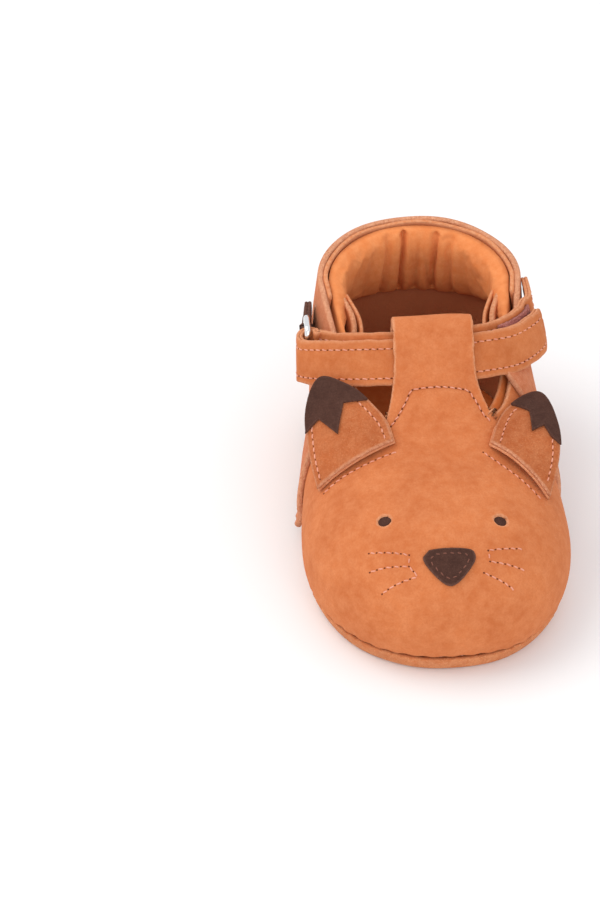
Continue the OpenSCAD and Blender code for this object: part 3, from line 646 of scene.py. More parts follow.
def vamp_surface(d, low_z, n_toe, n_side, rows, holes, inset=0.0, bar_end=60.0):
    """The vamp's outer face grown by d, cut to its outline drawn in by inset, with the T-bar bent to
    its loop. bar_end cuts the middle strip off behind that y."""
    cols = columns(d, n_toe, n_side, 60)
    front = cols[:, 0] < ANKLE_Y - 0.01
    order = np.roll(np.arange(len(cols)), n_side - 1)
    order = order[front[order]]
    p = form_grid(cols[order], low_z, rows)
    v, q = weld(p.reshape(-1, 3), grid_quads(len(order), rows)[:, ::-1])
    n = normals(v, q)
    mid = v[q].mean(1)
    # the ball line decides which outline holds: plan in the middle, side view on the walls
    strip = inside(mid[:, :2], throat_poly) & ((mid[:, 1] < -6.2) | (np.abs(mid[:, 0] - 1.1) < 13.5))
    strip &= mid[:, 1] < bar_end
    wing = inside(mid[:, 1:] + inset, wing_poly) & (mid[:, 1] > -9) & (np.abs(mid[:, 0]) > 11)
    keep = (mid[:, 1] < -9) | strip | wing
    q = q[keep]
    v, q, n = drop_unused(v, q, n)
    e = np.unique(open_edges(q, len(v)))
    e = e[(v[e, 1] > -10) & (v[e, 2] > low_z + 0.6)]
    inner = e[np.abs(v[e, 0] - 1.1) < 15.5]
    inner = inner[v[inner, 2] > form_z(v[inner, 0], v[inner, 1], d) - 3]
    outer = e[np.abs(v[e, 0]) > 12.5]
    for again in range(3):
        for line in (LEFT_EDGE, RIGHT_EDGE):
            draw_to(v, n, inner, [0, 1], line, 1.3)
        draw_to(v, n, outer, [1, 2], np.concatenate([WING, WING_REAR[1:]]) - inset, 1.3)
        relax(v, q, low_z, 6, rim_too=again < 2)
    for hx, hy, a, b in holes:
        c = np.array([hx, hy, form_z(hx, hy, d)])
        up = n[np.argmin(((v - c) ** 2).sum(1))]
        ex = np.cross([0, 1, 0], up)
        ex /= np.linalg.norm(ex)
        ey = np.cross(up, ex)
        uv = np.stack([(v - c) @ ex / a, (v - c) @ ey / b], 1)
        near = ((v - c) ** 2).sum(1) < 40
        inner_faces = (((uv[q].mean(1)) ** 2).sum(1) < 1.0) & near[q].all(1)
        q = q[~inner_faces]
        rim = np.unique(open_edges(q, len(v)))
        rim = rim[near[rim] & ((uv[rim] ** 2).sum(1) < 3)]
        new = uv[rim] / np.linalg.norm(uv[rim], axis=1, keepdims=True)
        delta = new - uv[rim]
        v[rim] += delta[:, :1] * a * ex + delta[:, 1:] * b * ey
    v, q, n = drop_unused(v, q, n)
    # the T-bar: everything of the middle strip behind y = -7 follows the loop's path
    bar = (v[:, 1] > -7) & (v[:, 0] > -12.8) & (v[:, 0] < 16.8) & inside(v[:, :2], np.concatenate(
        [[[-30, -30]], [[-30, -8.6]], LEFT_EDGE - [0.2, 0], RIGHT_EDGE[::-1] + [0.2, 0], [[30, -7]],
         [[30, -30]]]))
    bar &= ~((np.abs(v[:, 0]) > 11.6) & (v[:, 1] > 0))
    s = (v[bar, 1] + 7) / 43.0 * tbar_arc[-1]
    py, pz = np.interp(s, tbar_arc, tbar_path[:, 0]), np.interp(s, tbar_arc, tbar_path[:, 1])
    ahead = np.stack([np.interp(s + 0.3, tbar_arc, tbar_path[:, 0])
                      - np.interp(s - 0.3, tbar_arc, tbar_path[:, 0]),
                      np.interp(s + 0.3, tbar_arc, tbar_path[:, 1])
                      - np.interp(s - 0.3, tbar_arc, tbar_path[:, 1])], 1)
    ahead /= np.linalg.norm(ahead, axis=1, keepdims=True)
    flat = form_z(v[bar, 0], np.full(bar.sum(), -7.0), 0) - crown(-7.0)
    sag = flat * (1 - 0.75 * smooth(s / 14))
    # the front face bellies a little between its edges over the strap
    x = v[bar, 0]
    belly = 0.25 * np.sin(np.clip((x + 8.8) / 19.8, 0, 1) * np.pi) * np.exp(-((s - 14) / 6) ** 2)
    wave = 0.18 * np.sin(x / 3.3 + s / 5.0) * smooth(s / 10)
    off = d + sag + belly + wave
    v[bar, 1] = py - ahead[:, 1] * off
    v[bar, 2] = pz + ahead[:, 0] * off
    lean_in(v, ~bar & (np.abs(v[:, 0]) > 12))
    return v, q


eyes = [(-14.6, -39.2, 1.95, 1.72), (13.9, -40.6, 1.95, 1.72)]
v, q = vamp_surface(0.0, 5.5, 210, 110, 140, eyes)
n = normals(v, q)
# the hand of the leather: slow dents, and small gathers where it is sewn down to the sole
dents = (0.10 * np.sin(v[:, 0] / 6.1 + 1.2) * np.sin(v[:, 1] / 7.9) + 0.05
         * np.sin(v[:, 0] / 2.7 - v[:, 1] / 3.9)
         + 0.04 * np.sin(v[:, 2] / 2.2 + v[:, 0] / 4.0))
around = np.arctan2(v[:, 0], -(v[:, 1] - 5)) * 36
gather = 0.16 * np.sin(around * 2 * np.pi / 2.6) * np.exp(-((v[:, 2] - 5.5) / 1.6) ** 2)
tuck = -0.75 * np.exp(-((v[:, 2] - 5.3) / 0.75) ** 2) * (v[:, 2] < 9)
v += n * (dents + gather + tuck)[:, None]
seam_plan = spline([[-10.6, -8.6], [-8.6, -6.2], [-6.6, -3.6], [-5.3, -1.9], [-4.4, -1.55], [0, -1.5],
                    [5, -1.45], [9.2, -1.6],
                    [10.4, -2.4], [11.8, -3.9], [13, -5.6], [14.9, -7.3]], 8)


def on_vamp(plan, above=0.0):
    """Points of the vamp's outer face over plan points, raised by above, with the normals there."""
    vv, nn = np.asarray(vamp_v), np.asarray(vamp_n)
    top = nn[:, 2] > 0.05
    vv, nn = vv[top], nn[top]
    out_p, out_n = [], []
    for x, y in plan:
        w = np.exp(-((vv[:, 0] - x) ** 2 + (vv[:, 1] - y) ** 2) / 0.18)
        w *= vv[:, 2] > (w @ vv[:, 2]) / max(w.sum(), 1e-9) - 4
        w /= w.sum()
        m = w @ nn
        m /= np.linalg.norm(m)
        p = np.array([x, y, w @ (vv[:, 2] - (nn[:, 0] * (x - vv[:, 0]) + nn[:, 1]
                                             * (y - vv[:, 1])) / np.maximum(nn[:, 2], 0.2))])
        out_p.append(p + m * above)
        out_n.append(m)
    return np.array(out_p), np.array(out_n)


vamp_v, vamp_n = v, normals(v, q)
seam_line, seam_up = on_vamp(seam_plan)
press(v, vamp_n, seam_line, 0.28, 0.7)
vv, qq, edge, flesh = shell(v, q, 1.45)
vamp = put("vamp_leather", vv, qq, nubuck, edge=edge, flesh=flesh)
fit(vamp, "bootie", "nubuck", "vamp")
sewing, holes = [stitches(seam_line, seam_up, rise=0.0, seed=5)], [needle_holes(seam_line, seam_up)]

# ------------------------------------------------------------------------------------------------
# 5 Vamp lining. Thin soft leather inside the toe and the wings, glued in, its edge a little inside
# the throat's.
# ------------------------------------------------------------------------------------------------
v, q = vamp_surface(-2.4, 6.6, 120, 70, 80, [], inset=1.2, bar_end=-9.0)
vv, qq, edge, flesh = shell(v, q, 0.9)
vamp_inside = put("vamp_lining_leather", vv, qq, lining_leather, edge=edge, flesh=flesh)
fit(vamp_inside, "bootie", "lining_leather", "vamp_lining")

# ------------------------------------------------------------------------------------------------
# 6 Quarter and heel lining. The quarter is a second nubuck leather round the heel and both sides,
# over the wings, its top line and front edges left raw. The heel lining ends flush with it.
# ------------------------------------------------------------------------------------------------
TOPLINE = spline([[7, 46.5], [14, 49], [22, 50.8], [30, 52.3], [40, 53.8], [50, 55.3], [58, 56.3],
                  [68, 56.8]], 10)
QUARTER_FRONT = spline([[7, 46.5], [5.4, 44.5], [4, 41.6], [2.5, 38], [0.5, 34.8], [-0.7, 32.7], [-2.4, 27.5],
                        [-5.2, 18], [-6.1, 5.5]], 8)


def across(y, z, d):
    """Half width of the form grown by d at a height: the section's superellipse solved for x."""
    t = np.clip((z - WIDEST_Z) / (crown(y) + d - WIDEST_Z), 0, 1)
    low = 0.9 + 0.1 * np.sin(np.pi / 2 * np.clip(z, 0, WIDEST_Z) / WIDEST_Z)
    return np.where(z > WIDEST_Z, (1 - t**2.2) ** (1 / 2.5), low)


def heel_wall(d, top_drop, low_z, n_side, n_heel, rows, front=None, power=1.0):
    """A grid of points (column, row, xyz) from the medial front edge round the heel to the lateral
    one, and from the top line less top_drop down to low_z. front is the front edge in side view."""
    f = np.linspace(0, 1, n_side)[:-1]
    b = np.linspace(-np.pi / 2, np.pi / 2, n_heel)
    v = np.linspace(0, 1, rows) ** power
    front = np.array([[29.5, 60], [29.5, 0]]) if front is None else front
    z_front = np.interp(v, np.linspace(0, 1, len(front)), front[:, 1]) if len(front) > 2 else None
    y_front = np.interp(v, np.linspace(0, 1, len(front)), front[:, 0])
    top_y = y_front[0] * (1 - f) + ANKLE_Y * f
    top_z = np.interp(top_y, TOPLINE[:, 0], TOPLINE[:, 1]) - top_drop
    z = top_z[:, None] * (1 - v) + low_z * v
    if z_front is not None:
        w = (1 - f[:, None]) ** 3
        z = z * (1 - w) + np.minimum(z_front, top_z[0]) * w
    y = y_front * (1 - f[:, None]) + ANKLE_Y * f[:, None]
    x = (half_width(y) + d) * across(y, z, d)
    medial, lateral = np.stack([-x, y, z], -1), np.stack([x, y, z], -1)[::-1]
    hz = np.interp(ANKLE_Y + (24 + d) * np.cos(b), TOPLINE[:, 0], TOPLINE[:, 1]) - top_drop
    hz = hz[:, None] * (1 - v) + low_z * v
    r = across(ANKLE_Y, hz, d)
    reach = (1 / np.hypot(np.sin(b) / (27 + d), np.cos(b) / (24 + d)))[:, None] * r
    heel = np.stack([np.sin(b)[:, None] * reach, ANKLE_Y + np.cos(b)[:, None] * reach, hz], -1)
    return np.concatenate([medial, heel, lateral])


quarter_leather = leather("quarter nubuck", srgb(208, 122, 78), srgb(180, 96, 60), srgb(226, 160, 122),
                          edge=srgb(226, 162, 124), flesh=srgb(196, 116, 76), mottle=0.7, grain=1.0,
                          fleck=0.35,
                          bump=0.0002, rough=0.92)
wall = heel_wall(1.7, 0.0, 5.6, 110, 170, 90, QUARTER_FRONT)
v, q = weld(wall.reshape(-1, 3), grid_quads(len(wall), 90))
n = normals(v, q)
round_it = np.arctan2(v[:, 0], v[:, 1] - 10) * 34
swell = (0.12 * np.sin(round_it / 6.5) * np.sin(v[:, 2] / 9.0) + 0.05 * np.sin(round_it / 2.3 + v[:, 2] / 4.0)
         + 0.16 * np.sin(round_it * 2 * np.pi / 2.6) * np.exp(-((v[:, 2] - 5.5) / 1.6) ** 2)
         - 2.0 * np.exp(-((v[:, 2] - 4.9) / 1.5) ** 2) * (v[:, 2] < 10))
v += n * swell[:, None]
v[:, 2] += 0.14 * np.sin(round_it / 3.1) * smooth((v[:, 2] - 40) / 8)
if (n[:, :2] * (v[:, :2] - [0, 20])).sum() < 0:
    q = q[:, ::-1]
vv, qq, edge, flesh = shell(v, q, 1.6, bulge=0.2)
quarter = put("quarter_leather", vv, qq, quarter_leather, edge=edge, flesh=flesh)
fit(quarter, "bootie", "nubuck", "quarter")

wall = heel_wall(0.02, 0.15, 5.0, 12, 150, 60)
v, q = weld(wall.reshape(-1, 3), grid_quads(len(wall), 60))
round_it = np.arctan2(v[:, 0], v[:, 1] - 10) * 34
v[:, 2] += 0.2 * np.sin(round_it / 2.2 + 1) * smooth((v[:, 2] - 40) / 8)
if (normals(v, q)[:, :2] * (v[:, :2] - [0, 20])).sum() < 0:
    q = q[:, ::-1]
vv, qq, edge, flesh = shell(v, q, 1.2, bulge=0.2)
heel_inside = put("heel_lining_leather", vv, qq, lining_leather, edge=edge, flesh=flesh)
fit(heel_inside, "bootie", "lining_leather", "heel_lining")

# ------------------------------------------------------------------------------------------------
# 7 Padded collar. Soft foam wrapped in lining leather, sewn in under the raw top line and gathered
# at the heel, where the leather puckers into folds. The cover is blown up as cloth.
# ------------------------------------------------------------------------------------------------
PAD_START_Y = 17.0


def pad_frame(n_side, n_heel):
    """Plan parameters of the pad's columns: y on the ridge line, direction and, at the heel, angle;
    also the arc length from the middle of the heel, negative on the medial side."""
    y = np.linspace(PAD_START_Y, ANKLE_Y, n_side)[:-1]
    b = np.linspace(-np.pi / 2, np.pi / 2, n_heel)
    heel_arc = b * 25.6
    arc = np.concatenate([-(ANKLE_Y - y) - heel_arc[-1], heel_arc, ((ANKLE_Y - y) + heel_arc[-1])[::-1]])
    side = np.concatenate([-np.ones_like(y), np.zeros_like(b), np.ones_like(y)])
    return np.concatenate([y, b, y[::-1]]), side, arc


def pad_points(key, side, d, z):
    """Points of the form grown by d (negative inward) at height z for the pad's columns."""
    y = np.where(side == 0, ANKLE_Y, key)
    r = across(y[:, None] + 0 * z, z, d)
    x_side = (half_width(y)[:, None] + d) * r
    ang = key[:, None]
    reach = 1 / np.hypot(np.sin(ang) / (27 + d), np.cos(ang) / (24 + d)) * r
    s = side[:, None]
    x = np.where(s == 0, np.sin(ang) * reach, s * x_side)
    yy = np.where(s == 0, ANKLE_Y + np.cos(ang) * reach, y[:, None])
    return np.stack([x, yy, z], -1)


key, side, arc = pad_frame(64, 150)
edge_y = np.where(side == 0, ANKLE_Y + 24 * np.cos(key), key)
top = np.interp(edge_y, TOPLINE[:, 0], TOPLINE[:, 1]) - 0.9
far = np.abs(arc)
low = 34.0 + 4.2 * smooth((far - 8) / 32) + 3.0 * smooth((far - 42) / 14)
depth_at = 5.4 * smooth((64 - far) / 24) * (0.86 + 0.14 * smooth((far - 6) / 14))
w = np.linspace(0, 1, 46)
belly = (1 - np.abs(2 * w**0.9 - 1) ** 2.6) ** 0.6
rise = top[:, None] * (1 - w) + low[:, None] * w
into = -1.55 - depth_at[:, None] * belly
# folds: deep narrow creases at the heel, running down to pockets at the seam, shallow ones beyond
folds = np.zeros_like(rise)
for at, depth, width, top_share, bottom_share in (
        (-9.6, 2.2, 1.3, 0.45, 1.0), (-3.4, 3.0, 1.0, 0.95, 1.0), (2.2, 1.6, 1.1, 0.15, 1.0),
                                                  (7.4, 2.5, 1.2, 0.75, 1.0),
        (13.4, 2.2, 1.5, 0.5, 0.85), (-16.5, 1.2, 2.4, 0.15, 0.6), (21, 1.3, 2.6, 0.2, 0.6),
                                                  (32, 0.7, 3.5, 0.1, 0.5),
        (-30, 0.8, 3.8, 0.1, 0.5), (-0.6, 1.2, 0.9, 0.05, 1.0), (4.9, 1.2, 0.8, 0.1, 1.0)):
    centre = at + 0.9 * np.sin(3.0 * w + at) + at * 0.08 * w
    strength = top_share + (bottom_share - top_share) * w**1.3
    folds += depth * strength * np.exp(-((arc[:, None] - centre) / width) ** 2)
folds *= smooth(w / 0.08) * smooth((1 - w) / 0.05)
into += folds
d_in = np.minimum(into, -1.5)
face = np.stack([pad_points(key, side, 0.0, rise[:, k:k + 1])[:, 0] for k in range(rise.shape[1])], 1)
shift = pad_points(key, side, 0.0, rise) - pad_points(key, side, -1.0, rise)
shift /= np.linalg.norm(shift, axis=2, keepdims=True)
face = face + shift * d_in[..., None]
back = np.stack([np.linspace(1, 0, 9)[1:-1]] * len(key))
back_z = low[:, None] + (top - low)[:, None] * (1 - back)
back_pts = pad_points(key, side, 0.0, back_z) - 1.5 * shift[:, :1]
section = np.concatenate([face, back_pts], 1)
nv = section.shape[1]
i, j = np.meshgrid(np.arange(len(key) - 1), np.arange(nv), indexing="ij")
q = np.stack([i * nv + j, i * nv + (j + 1) % nv, (i + 1) * nv + (j + 1) % nv, (i + 1) * nv + j],
             -1).reshape(-1, 4)
v = section.reshape(-1, 3)
caps = [np.stack([base + np.arange(0, nv // 2 - 1), base + np.arange(1, nv // 2),
                  base + nv - 1 - np.arange(1, nv // 2),
                  base + nv - 1 - np.arange(0, nv // 2 - 1)], 1) for base in (0, (len(key) - 1) * nv)]
q = np.concatenate([q, caps[0][:, ::-1], caps[1]])
fn = np.cross(v[q[:, 2]] - v[q[:, 0]], v[q[:, 3]] - v[q[:, 1]])
if (fn * v[q].mean(1)).sum() < 0:
    q = q[:, ::-1]
# The cover is lining leather, but it gets a lighter copy of the lining's colour: painted light that makes up
# for the shade inside the collar.
collar_leather_painted_light = leather("collar leather painted light", srgb(230, 138, 78), srgb(200, 108, 56), srgb(240, 166, 110),
                      mottle=0.6, grain=0.45,
                      bump=0.0001, rough=0.84)
pad = put("collar_pad", v, q, collar_leather_painted_light)


def blow_up(obj, pinned, pressure=3.0, extra=0.012, limit=0.0012):
    """Blows the piece up as cloth for 20 frames with gravity off, pinned where pinned is 1 and with
    extra cloth to wrinkle; no point may move further than limit metres."""
    start = np.empty(len(obj.data.vertices) * 3, np.float32)
    obj.data.vertices.foreach_get("co", start)
    group = obj.vertex_groups.new(name="pinned")
    for level in (1.0, 0.5):
        ids = np.nonzero(np.isclose(pinned, level))[0]
        group.add(ids.tolist(), level, "REPLACE")
    cloth = obj.modifiers.new("cloth", "CLOTH")
    s = cloth.settings
    s.quality = 6
    s.mass = 0.15
    s.tension_stiffness = s.compression_stiffness = 20
    s.shear_stiffness = 10
    s.bending_stiffness = 4.0
    s.use_pressure = True
    s.uniform_pressure_force = pressure
    s.shrink_min = -extra
    s.vertex_group_mass = "pinned"
    s.effector_weights.gravity = 0.0
    cloth.collision_settings.use_collision = False
    cloth.collision_settings.use_self_collision = False
    scene = bpy.context.scene
    for k in range(1, 21):
        scene.frame_set(k)
    done = obj.evaluated_get(bpy.context.evaluated_depsgraph_get()).data
    moved = np.empty(len(done.vertices) * 3, np.float32)
    done.vertices.foreach_get("co", moved)
    obj.modifiers.remove(cloth)
    step = (moved - start).reshape(-1, 3)
    size = np.linalg.norm(step, axis=1, keepdims=True)
    step *= limit * np.tanh(size / limit) / np.maximum(size, 1e-9)
    obj.data.vertices.foreach_set("co", (start.reshape(-1, 3) + step).reshape(-1))
    obj.data.update()
    scene.frame_set(1)


held = np.ones(len(v))
grid = held.reshape(len(key), nv)
grid[1:-1, 3:43] = 0.0
grid[1:-1, [2, 43]] = 0.5
blow_up(pad, held)
fit(pad, "bootie", "lining_leather", "collar_foam", "collar_lining")

# ------------------------------------------------------------------------------------------------
# 8 Strap. One long strip of two leathers sewn back to back. It is sewn to the quarter on the
# lateral side, runs through the T-bar's loop to the ring, turns back round the ring's front bar
# and comes back through the loop outside itself. Its free tail closes on the lateral side.
# ------------------------------------------------------------------------------------------------
ROUTE = spline([[-33.1, 17.6, 41.8], [-32.2, 13.6, 43], [-24.5, 8, 46.3], [-10, 4.6, 48.6], [3, 4.3, 49.2],
                [14, 5.8, 49.2],
                [23, 10, 47.8], [29.7, 17.5, 46.5], [31.6, 22.4, 45.9]], 12)
WIDTHS = spline([[-0.02, 0.06, 1], [0.1, 0.22, 1], [0.2, 0.5, 0.85], [0, 0.66, 0.75], [0, 0.66, 0.75],
                 [-0.1, 0.62, 0.78],
                 [-0.25, 0.4, 0.88], [-0.25, 0.2, 0.95], [-0.22, 0.12, 0.97]], 12)
WIDTHS /= np.linalg.norm(WIDTHS, axis=1, keepdims=True)
# the route's step where the tail leaves the T-bar
TBAR_STEP = 46


def tangents(p):
    """Unit direction along a line of points."""
    t = np.gradient(p, axis=0)
    return t / np.linalg.norm(t, axis=1, keepdims=True)


route_t = tangents(ROUTE)
route_n = np.cross(route_t, WIDTHS)
route_n /= np.linalg.norm(route_n, axis=1, keepdims=True)
rx = ROUTE[:, 0]
inner_deep = np.where(rx < -20, 2.85 + 2.3 * smooth((-20 - rx) / 10), 2.85 + 1.85 * smooth((rx - 13) / 9))
outer_line = ROUTE - route_n * 0.85
inner_line = ROUTE - route_n * inner_deep[:, None] + WIDTHS * 2.0
turn = np.linspace(0, np.pi, 15)[1:-1]
mid_x, half = (outer_line[0, 0] + inner_line[0, 0]) / 2, (inner_line[0, 0] - outer_line[0, 0]) / 2
fold = np.stack([mid_x + half * np.cos(turn), outer_line[0, 1] + 0.3 + abs(half) * np.sin(turn),
                 inner_line[0, 2] + (outer_line[0, 2] - inner_line[0, 2]) * turn / np.pi], 1)


def band(points, widths, half_width_at, lift, thick, across_n=15, cup=0.1, grooves=()):
    """One leather of a strap as points, faces, edge and flesh: it follows the line of points, its
    outer face lift above it, with shallow grooves where it is sewn, (place across, depth) each."""
    t = tangents(points)
    n = np.cross(t, widths)
    n /= np.linalg.norm(n, axis=1, keepdims=True)
    k = np.linspace(-1, 1, across_n)
    rise = lift - cup * k**4 * 1.6
    for at, depth in grooves:
        rise = rise - depth * np.exp(-((k * 5.75 - at) / 0.55) ** 2)
    half = np.broadcast_to(half_width_at, (len(points),))
    s = np.concatenate([[0], np.linalg.norm(np.diff(points, axis=0), axis=1).cumsum()])
    wave = 0.06 * np.sin(s / 2.6)[:, None] * np.sin(2.2 * k + s[:, None] / 9)
    edge_wave = 0.07 * np.sin(s / 1.7) + 0.05 * np.sin(s / 0.83)
    p = (points[:, None] + widths[:, None] * (k * (half + edge_wave)[:, None])[..., None]
         + n[:, None] * (rise + wave)[..., None])
    q = grid_quads(len(points), across_n)
    v = p.reshape(-1, 3)
    if (normals(v, q).reshape(len(points), across_n, 3)[:, across_n // 2] * n).sum() < 0:
        q = q[:, ::-1]
    return shell(v, q, thick, bulge=0.22, steps=4)


def rounded_end(length, half, corner, n):
    """Half widths for the last points of a strap with rounded corners."""
    x = np.clip(length - np.asarray(n), 0, corner)
    return half - corner + np.sqrt(np.maximum(corner**2 - (corner - x) ** 2, 0))


def resample(points, widths, step):
    """The same line with its points every step, and the width directions with them."""
    s = np.concatenate([[0], np.linalg.norm(np.diff(points, axis=0), axis=1).cumsum()])
    at = np.linspace(0, s[-1], int(s[-1] / step) + 1)
    p = np.stack([np.interp(at, s, points[:, k]) for k in range(3)], 1)
    w = np.stack([np.interp(at, s, widths[:, k]) for k in range(3)], 1)
    return p, w / np.linalg.norm(w, axis=1, keepdims=True), at


strap_leather = leather("strap nubuck", srgb(200, 116, 66), srgb(174, 90, 44), srgb(218, 144, 96),
                        edge=srgb(216, 150, 110),
                        flesh=srgb(200, 122, 80), mottle=0.55, grain=0.7, bump=0.00012)
# half the strap's width, the thickness of one of its leathers, and where its rows of stitches lie
HALF_STRAP, ONE_LEATHER, ROWS_AT = 5.75, 0.83, (3.45, -4.05)
SEW = tuple((at, 0.16) for at in ROWS_AT)


def two_leathers(name, points, widths, half_width_at):
    """The strap as its two leathers back to back: the outer one grooved by its rows of stitches, the
    inner one with no raw flesh side showing."""
    parts, edges, fleshes = [], [], []
    for lift, rows in ((0.85, SEW), (-0.02, ())):
        vv, qq, edge, flesh = band(points, widths, half_width_at, lift, ONE_LEATHER, grooves=rows)
        parts.append((vv, qq))
        edges.append(edge)
        fleshes.append(flesh * (lift > 0))
    v, q = merge(parts)
    return put(name, v, q, strap_leather, edge=np.concatenate(edges), flesh=np.concatenate(fleshes))


# the sewn root lies along the quarter behind the last point of the route
root = spline([inner_line[-8], inner_line[-1], [28.6, 26.6, 46.6], [28.9, 31, 46.2], [28.7, 35.5, 46]], 8)[9:]
points = np.concatenate([root[::-1], inner_line[:0:-1], inner_line[:1], fold, outer_line[:TBAR_STEP]])
widths = np.concatenate([np.repeat(WIDTHS[-1:], len(root), 0), WIDTHS[::-1],
                         np.repeat(WIDTHS[:1], len(fold), 0),
                         WIDTHS[:TBAR_STEP]])
points, widths, at = resample(points, widths, 0.4)
strap = two_leathers("strap_run", points, widths, HALF_STRAP)
fit(strap, "bootie", "nubuck", "strap_inner_run", "strap_outer_run")

points, widths, at = resample(outer_line[TBAR_STEP - 3:], WIDTHS[TBAR_STEP - 3:], 0.35)
tail = two_leathers("strap_tail_leather", points, widths, rounded_end(at[-1], HALF_STRAP, 1.6, at))
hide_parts("strap_tail")
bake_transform(tail)


def row(first, last, across_at, base, lift):
    """A line of points and normals on a strap's face, from one step of its route to another."""
    p = base[first:last] + WIDTHS[first:last] * across_at + route_n[first:last] * lift
    return p, route_n[first:last]


for side_at in ROWS_AT:
    line, up = row(2, TBAR_STEP, side_at, outer_line, 0.72)
    sewing.append(stitches(line, up, rise=0.04, seed=11))
    holes.append(needle_holes(line, up))
tail_sewing, tail_holes = [], []
for side_at in ROWS_AT:
    line, up = row(TBAR_STEP, 93, side_at, outer_line, 0.72)
    tail_sewing.append(stitches(line, up, rise=0.04, seed=13))
    tail_holes.append(needle_holes(line, up))
line, up = row(4, 92, 3.7, inner_line, 0.85)
sewing.append(stitches(line, up, rise=0.05, seed=15))
holes.append(needle_holes(line, up))
root_n = np.cross(tangents(root), np.repeat(WIDTHS[-1:], len(root), 0))
for side_at in (3.9, -3.9):
    line = root[10:-6] + WIDTHS[-1] * side_at + root_n[10:-6] * 0.87
    sewing.append(stitches(line, root_n[10:-6], rise=0.04, seed=17))
    holes.append(needle_holes(line, root_n[10:-6]))
line = root[-6] + root_n[-6] * 0.87 + WIDTHS[-1] * np.linspace(-3.9, 3.9, 8)[:, None]
sewing.append(stitches(line, root_n[-6], rise=0.04, seed=19))
holes.append(needle_holes(line, root_n[-6]))

# ------------------------------------------------------------------------------------------------
# 9 Hook-and-loop closure. A patch of loops on the strap's inner run and a patch of hooks under the
# tail, both dusty pink, woven and sewn on.
# ------------------------------------------------------------------------------------------------
hook_tape = leather("hook and loop tape", srgb(196, 116, 104), srgb(166, 86, 78), srgb(226, 158, 146),
                    edge=srgb(214, 140, 128),
                    mottle=0.9, grain=1.0, fleck=0.7, bump=0.0005, rough=1.0, sheen=0.6)


def tape(name, first, last, deep, rise, seed):
    """A strip of tape along the strap's route, deep below its outer face, with a tufted face."""
    p, w, _ = resample(ROUTE[first:last] - route_n[first:last] * deep + WIDTHS[first:last] * rise,
                       WIDTHS[first:last], 0.3)
    vv, qq, edge, flesh = band(p, w, 4.8, 0.4, 0.78, across_n=41, cup=0.0)
    rng = np.random.default_rng(seed)
    vv = vv + rng.normal(0, 0.07, vv.shape)
    return put(name, vv, qq, hook_tape, edge=edge, flesh=flesh * 0)


loops_patch = tape("loop_tape", 70, 97, (inner_deep[70:97] - 1.3)[:, None], 1.6, 21)
fit(loops_patch, "bootie", "hook_and_loop", "loop_patch")
hooks_patch = tape("hook_tape", 70, 96, 2.15, 0.0, 22)
fit(hooks_patch, "closing_tail", "hook_and_loop", "hook_patch")

# ------------------------------------------------------------------------------------------------
# 10 Ring and its tab. A bright nickel-plated wire ring, held by a short loop of dark leather whose
# ends are sewn in between quarter and strap root.
# ------------------------------------------------------------------------------------------------
nickel = bpy.data.materials.new("nickel wire")
nickel.use_nodes = True
tree = nickel.node_tree
metal = tree.nodes["Principled BSDF"]
metal.inputs["Base Color"].default_value = (0.78, 0.77, 0.75, 1)
metal.inputs["Metallic"].default_value = 1.0
scratch = tree.nodes.new("ShaderNodeTexNoise")
scratch.inputs["Scale"].default_value = 900.0
place = tree.nodes.new("ShaderNodeTexCoord")
link(tree, place.outputs["Object"], scratch.inputs["Vector"])
dull = tree.nodes.new("ShaderNodeMapRange")
dull.inputs["To Min"].default_value, dull.inputs["To Max"].default_value = 0.14, 0.26
link(tree, scratch.outputs["Fac"], dull.inputs["Value"])
link(tree, dull.outputs["Result"], metal.inputs["Roughness"])


def wire(line, radius, sides=20):
    """A round wire along a closed line of points in a plane x = constant."""
    t = np.roll(line, -1, 0) - np.roll(line, 1, 0)
    t /= np.linalg.norm(t, axis=1, keepdims=True)
    ex = np.array([1.0, 0, 0])
    ey = np.cross(t, ex)
    a = np.arange(sides) * 2 * np.pi / sides
    v = line[:, None] + radius * (np.cos(a)[None, :, None] * ex + np.sin(a)[None, :, None] * ey[:, None])
    i, j = np.meshgrid(np.arange(len(line)), np.arange(sides), indexing="ij")
    i2, j2 = (i + 1) % len(line), (j + 1) % sides
    q = np.stack([i * sides + j, i * sides + j2, i2 * sides + j2, i2 * sides + j], -1).reshape(-1, 4)
    return v.reshape(-1, 3), q


corner = 1.8
quarter_turn = np.linspace(0, np.pi / 2, 13)
corners = [np.stack([np.full(13, -30.1), 20.7 + sy * (3.5 - corner) + corner * np.cos(quarter_turn + turn0),
                     42.6 + sz * (7.5 - corner) + corner * np.sin(quarter_turn + turn0)], 1)
           for sy, sz, turn0 in ((1, 1, 0), (-1, 1, np.pi / 2), (-1, -1, np.pi), (1, -1, 3 * np.pi / 2))]
v, q = wire(np.concatenate(corners), 0.8)
fn = np.cross(v[q[:, 2]] - v[q[:, 0]], v[q[:, 3]] - v[q[:, 1]])
centre_line = np.concatenate(corners).repeat(20, 0)
if (normals(v, q) * (v - centre_line)).sum() < 0:
    q = q[:, ::-1]
wire_ring = put("wire_ring", v, q, nickel)
fit(wire_ring, "buckle_ring", "ring_metal", "ring")

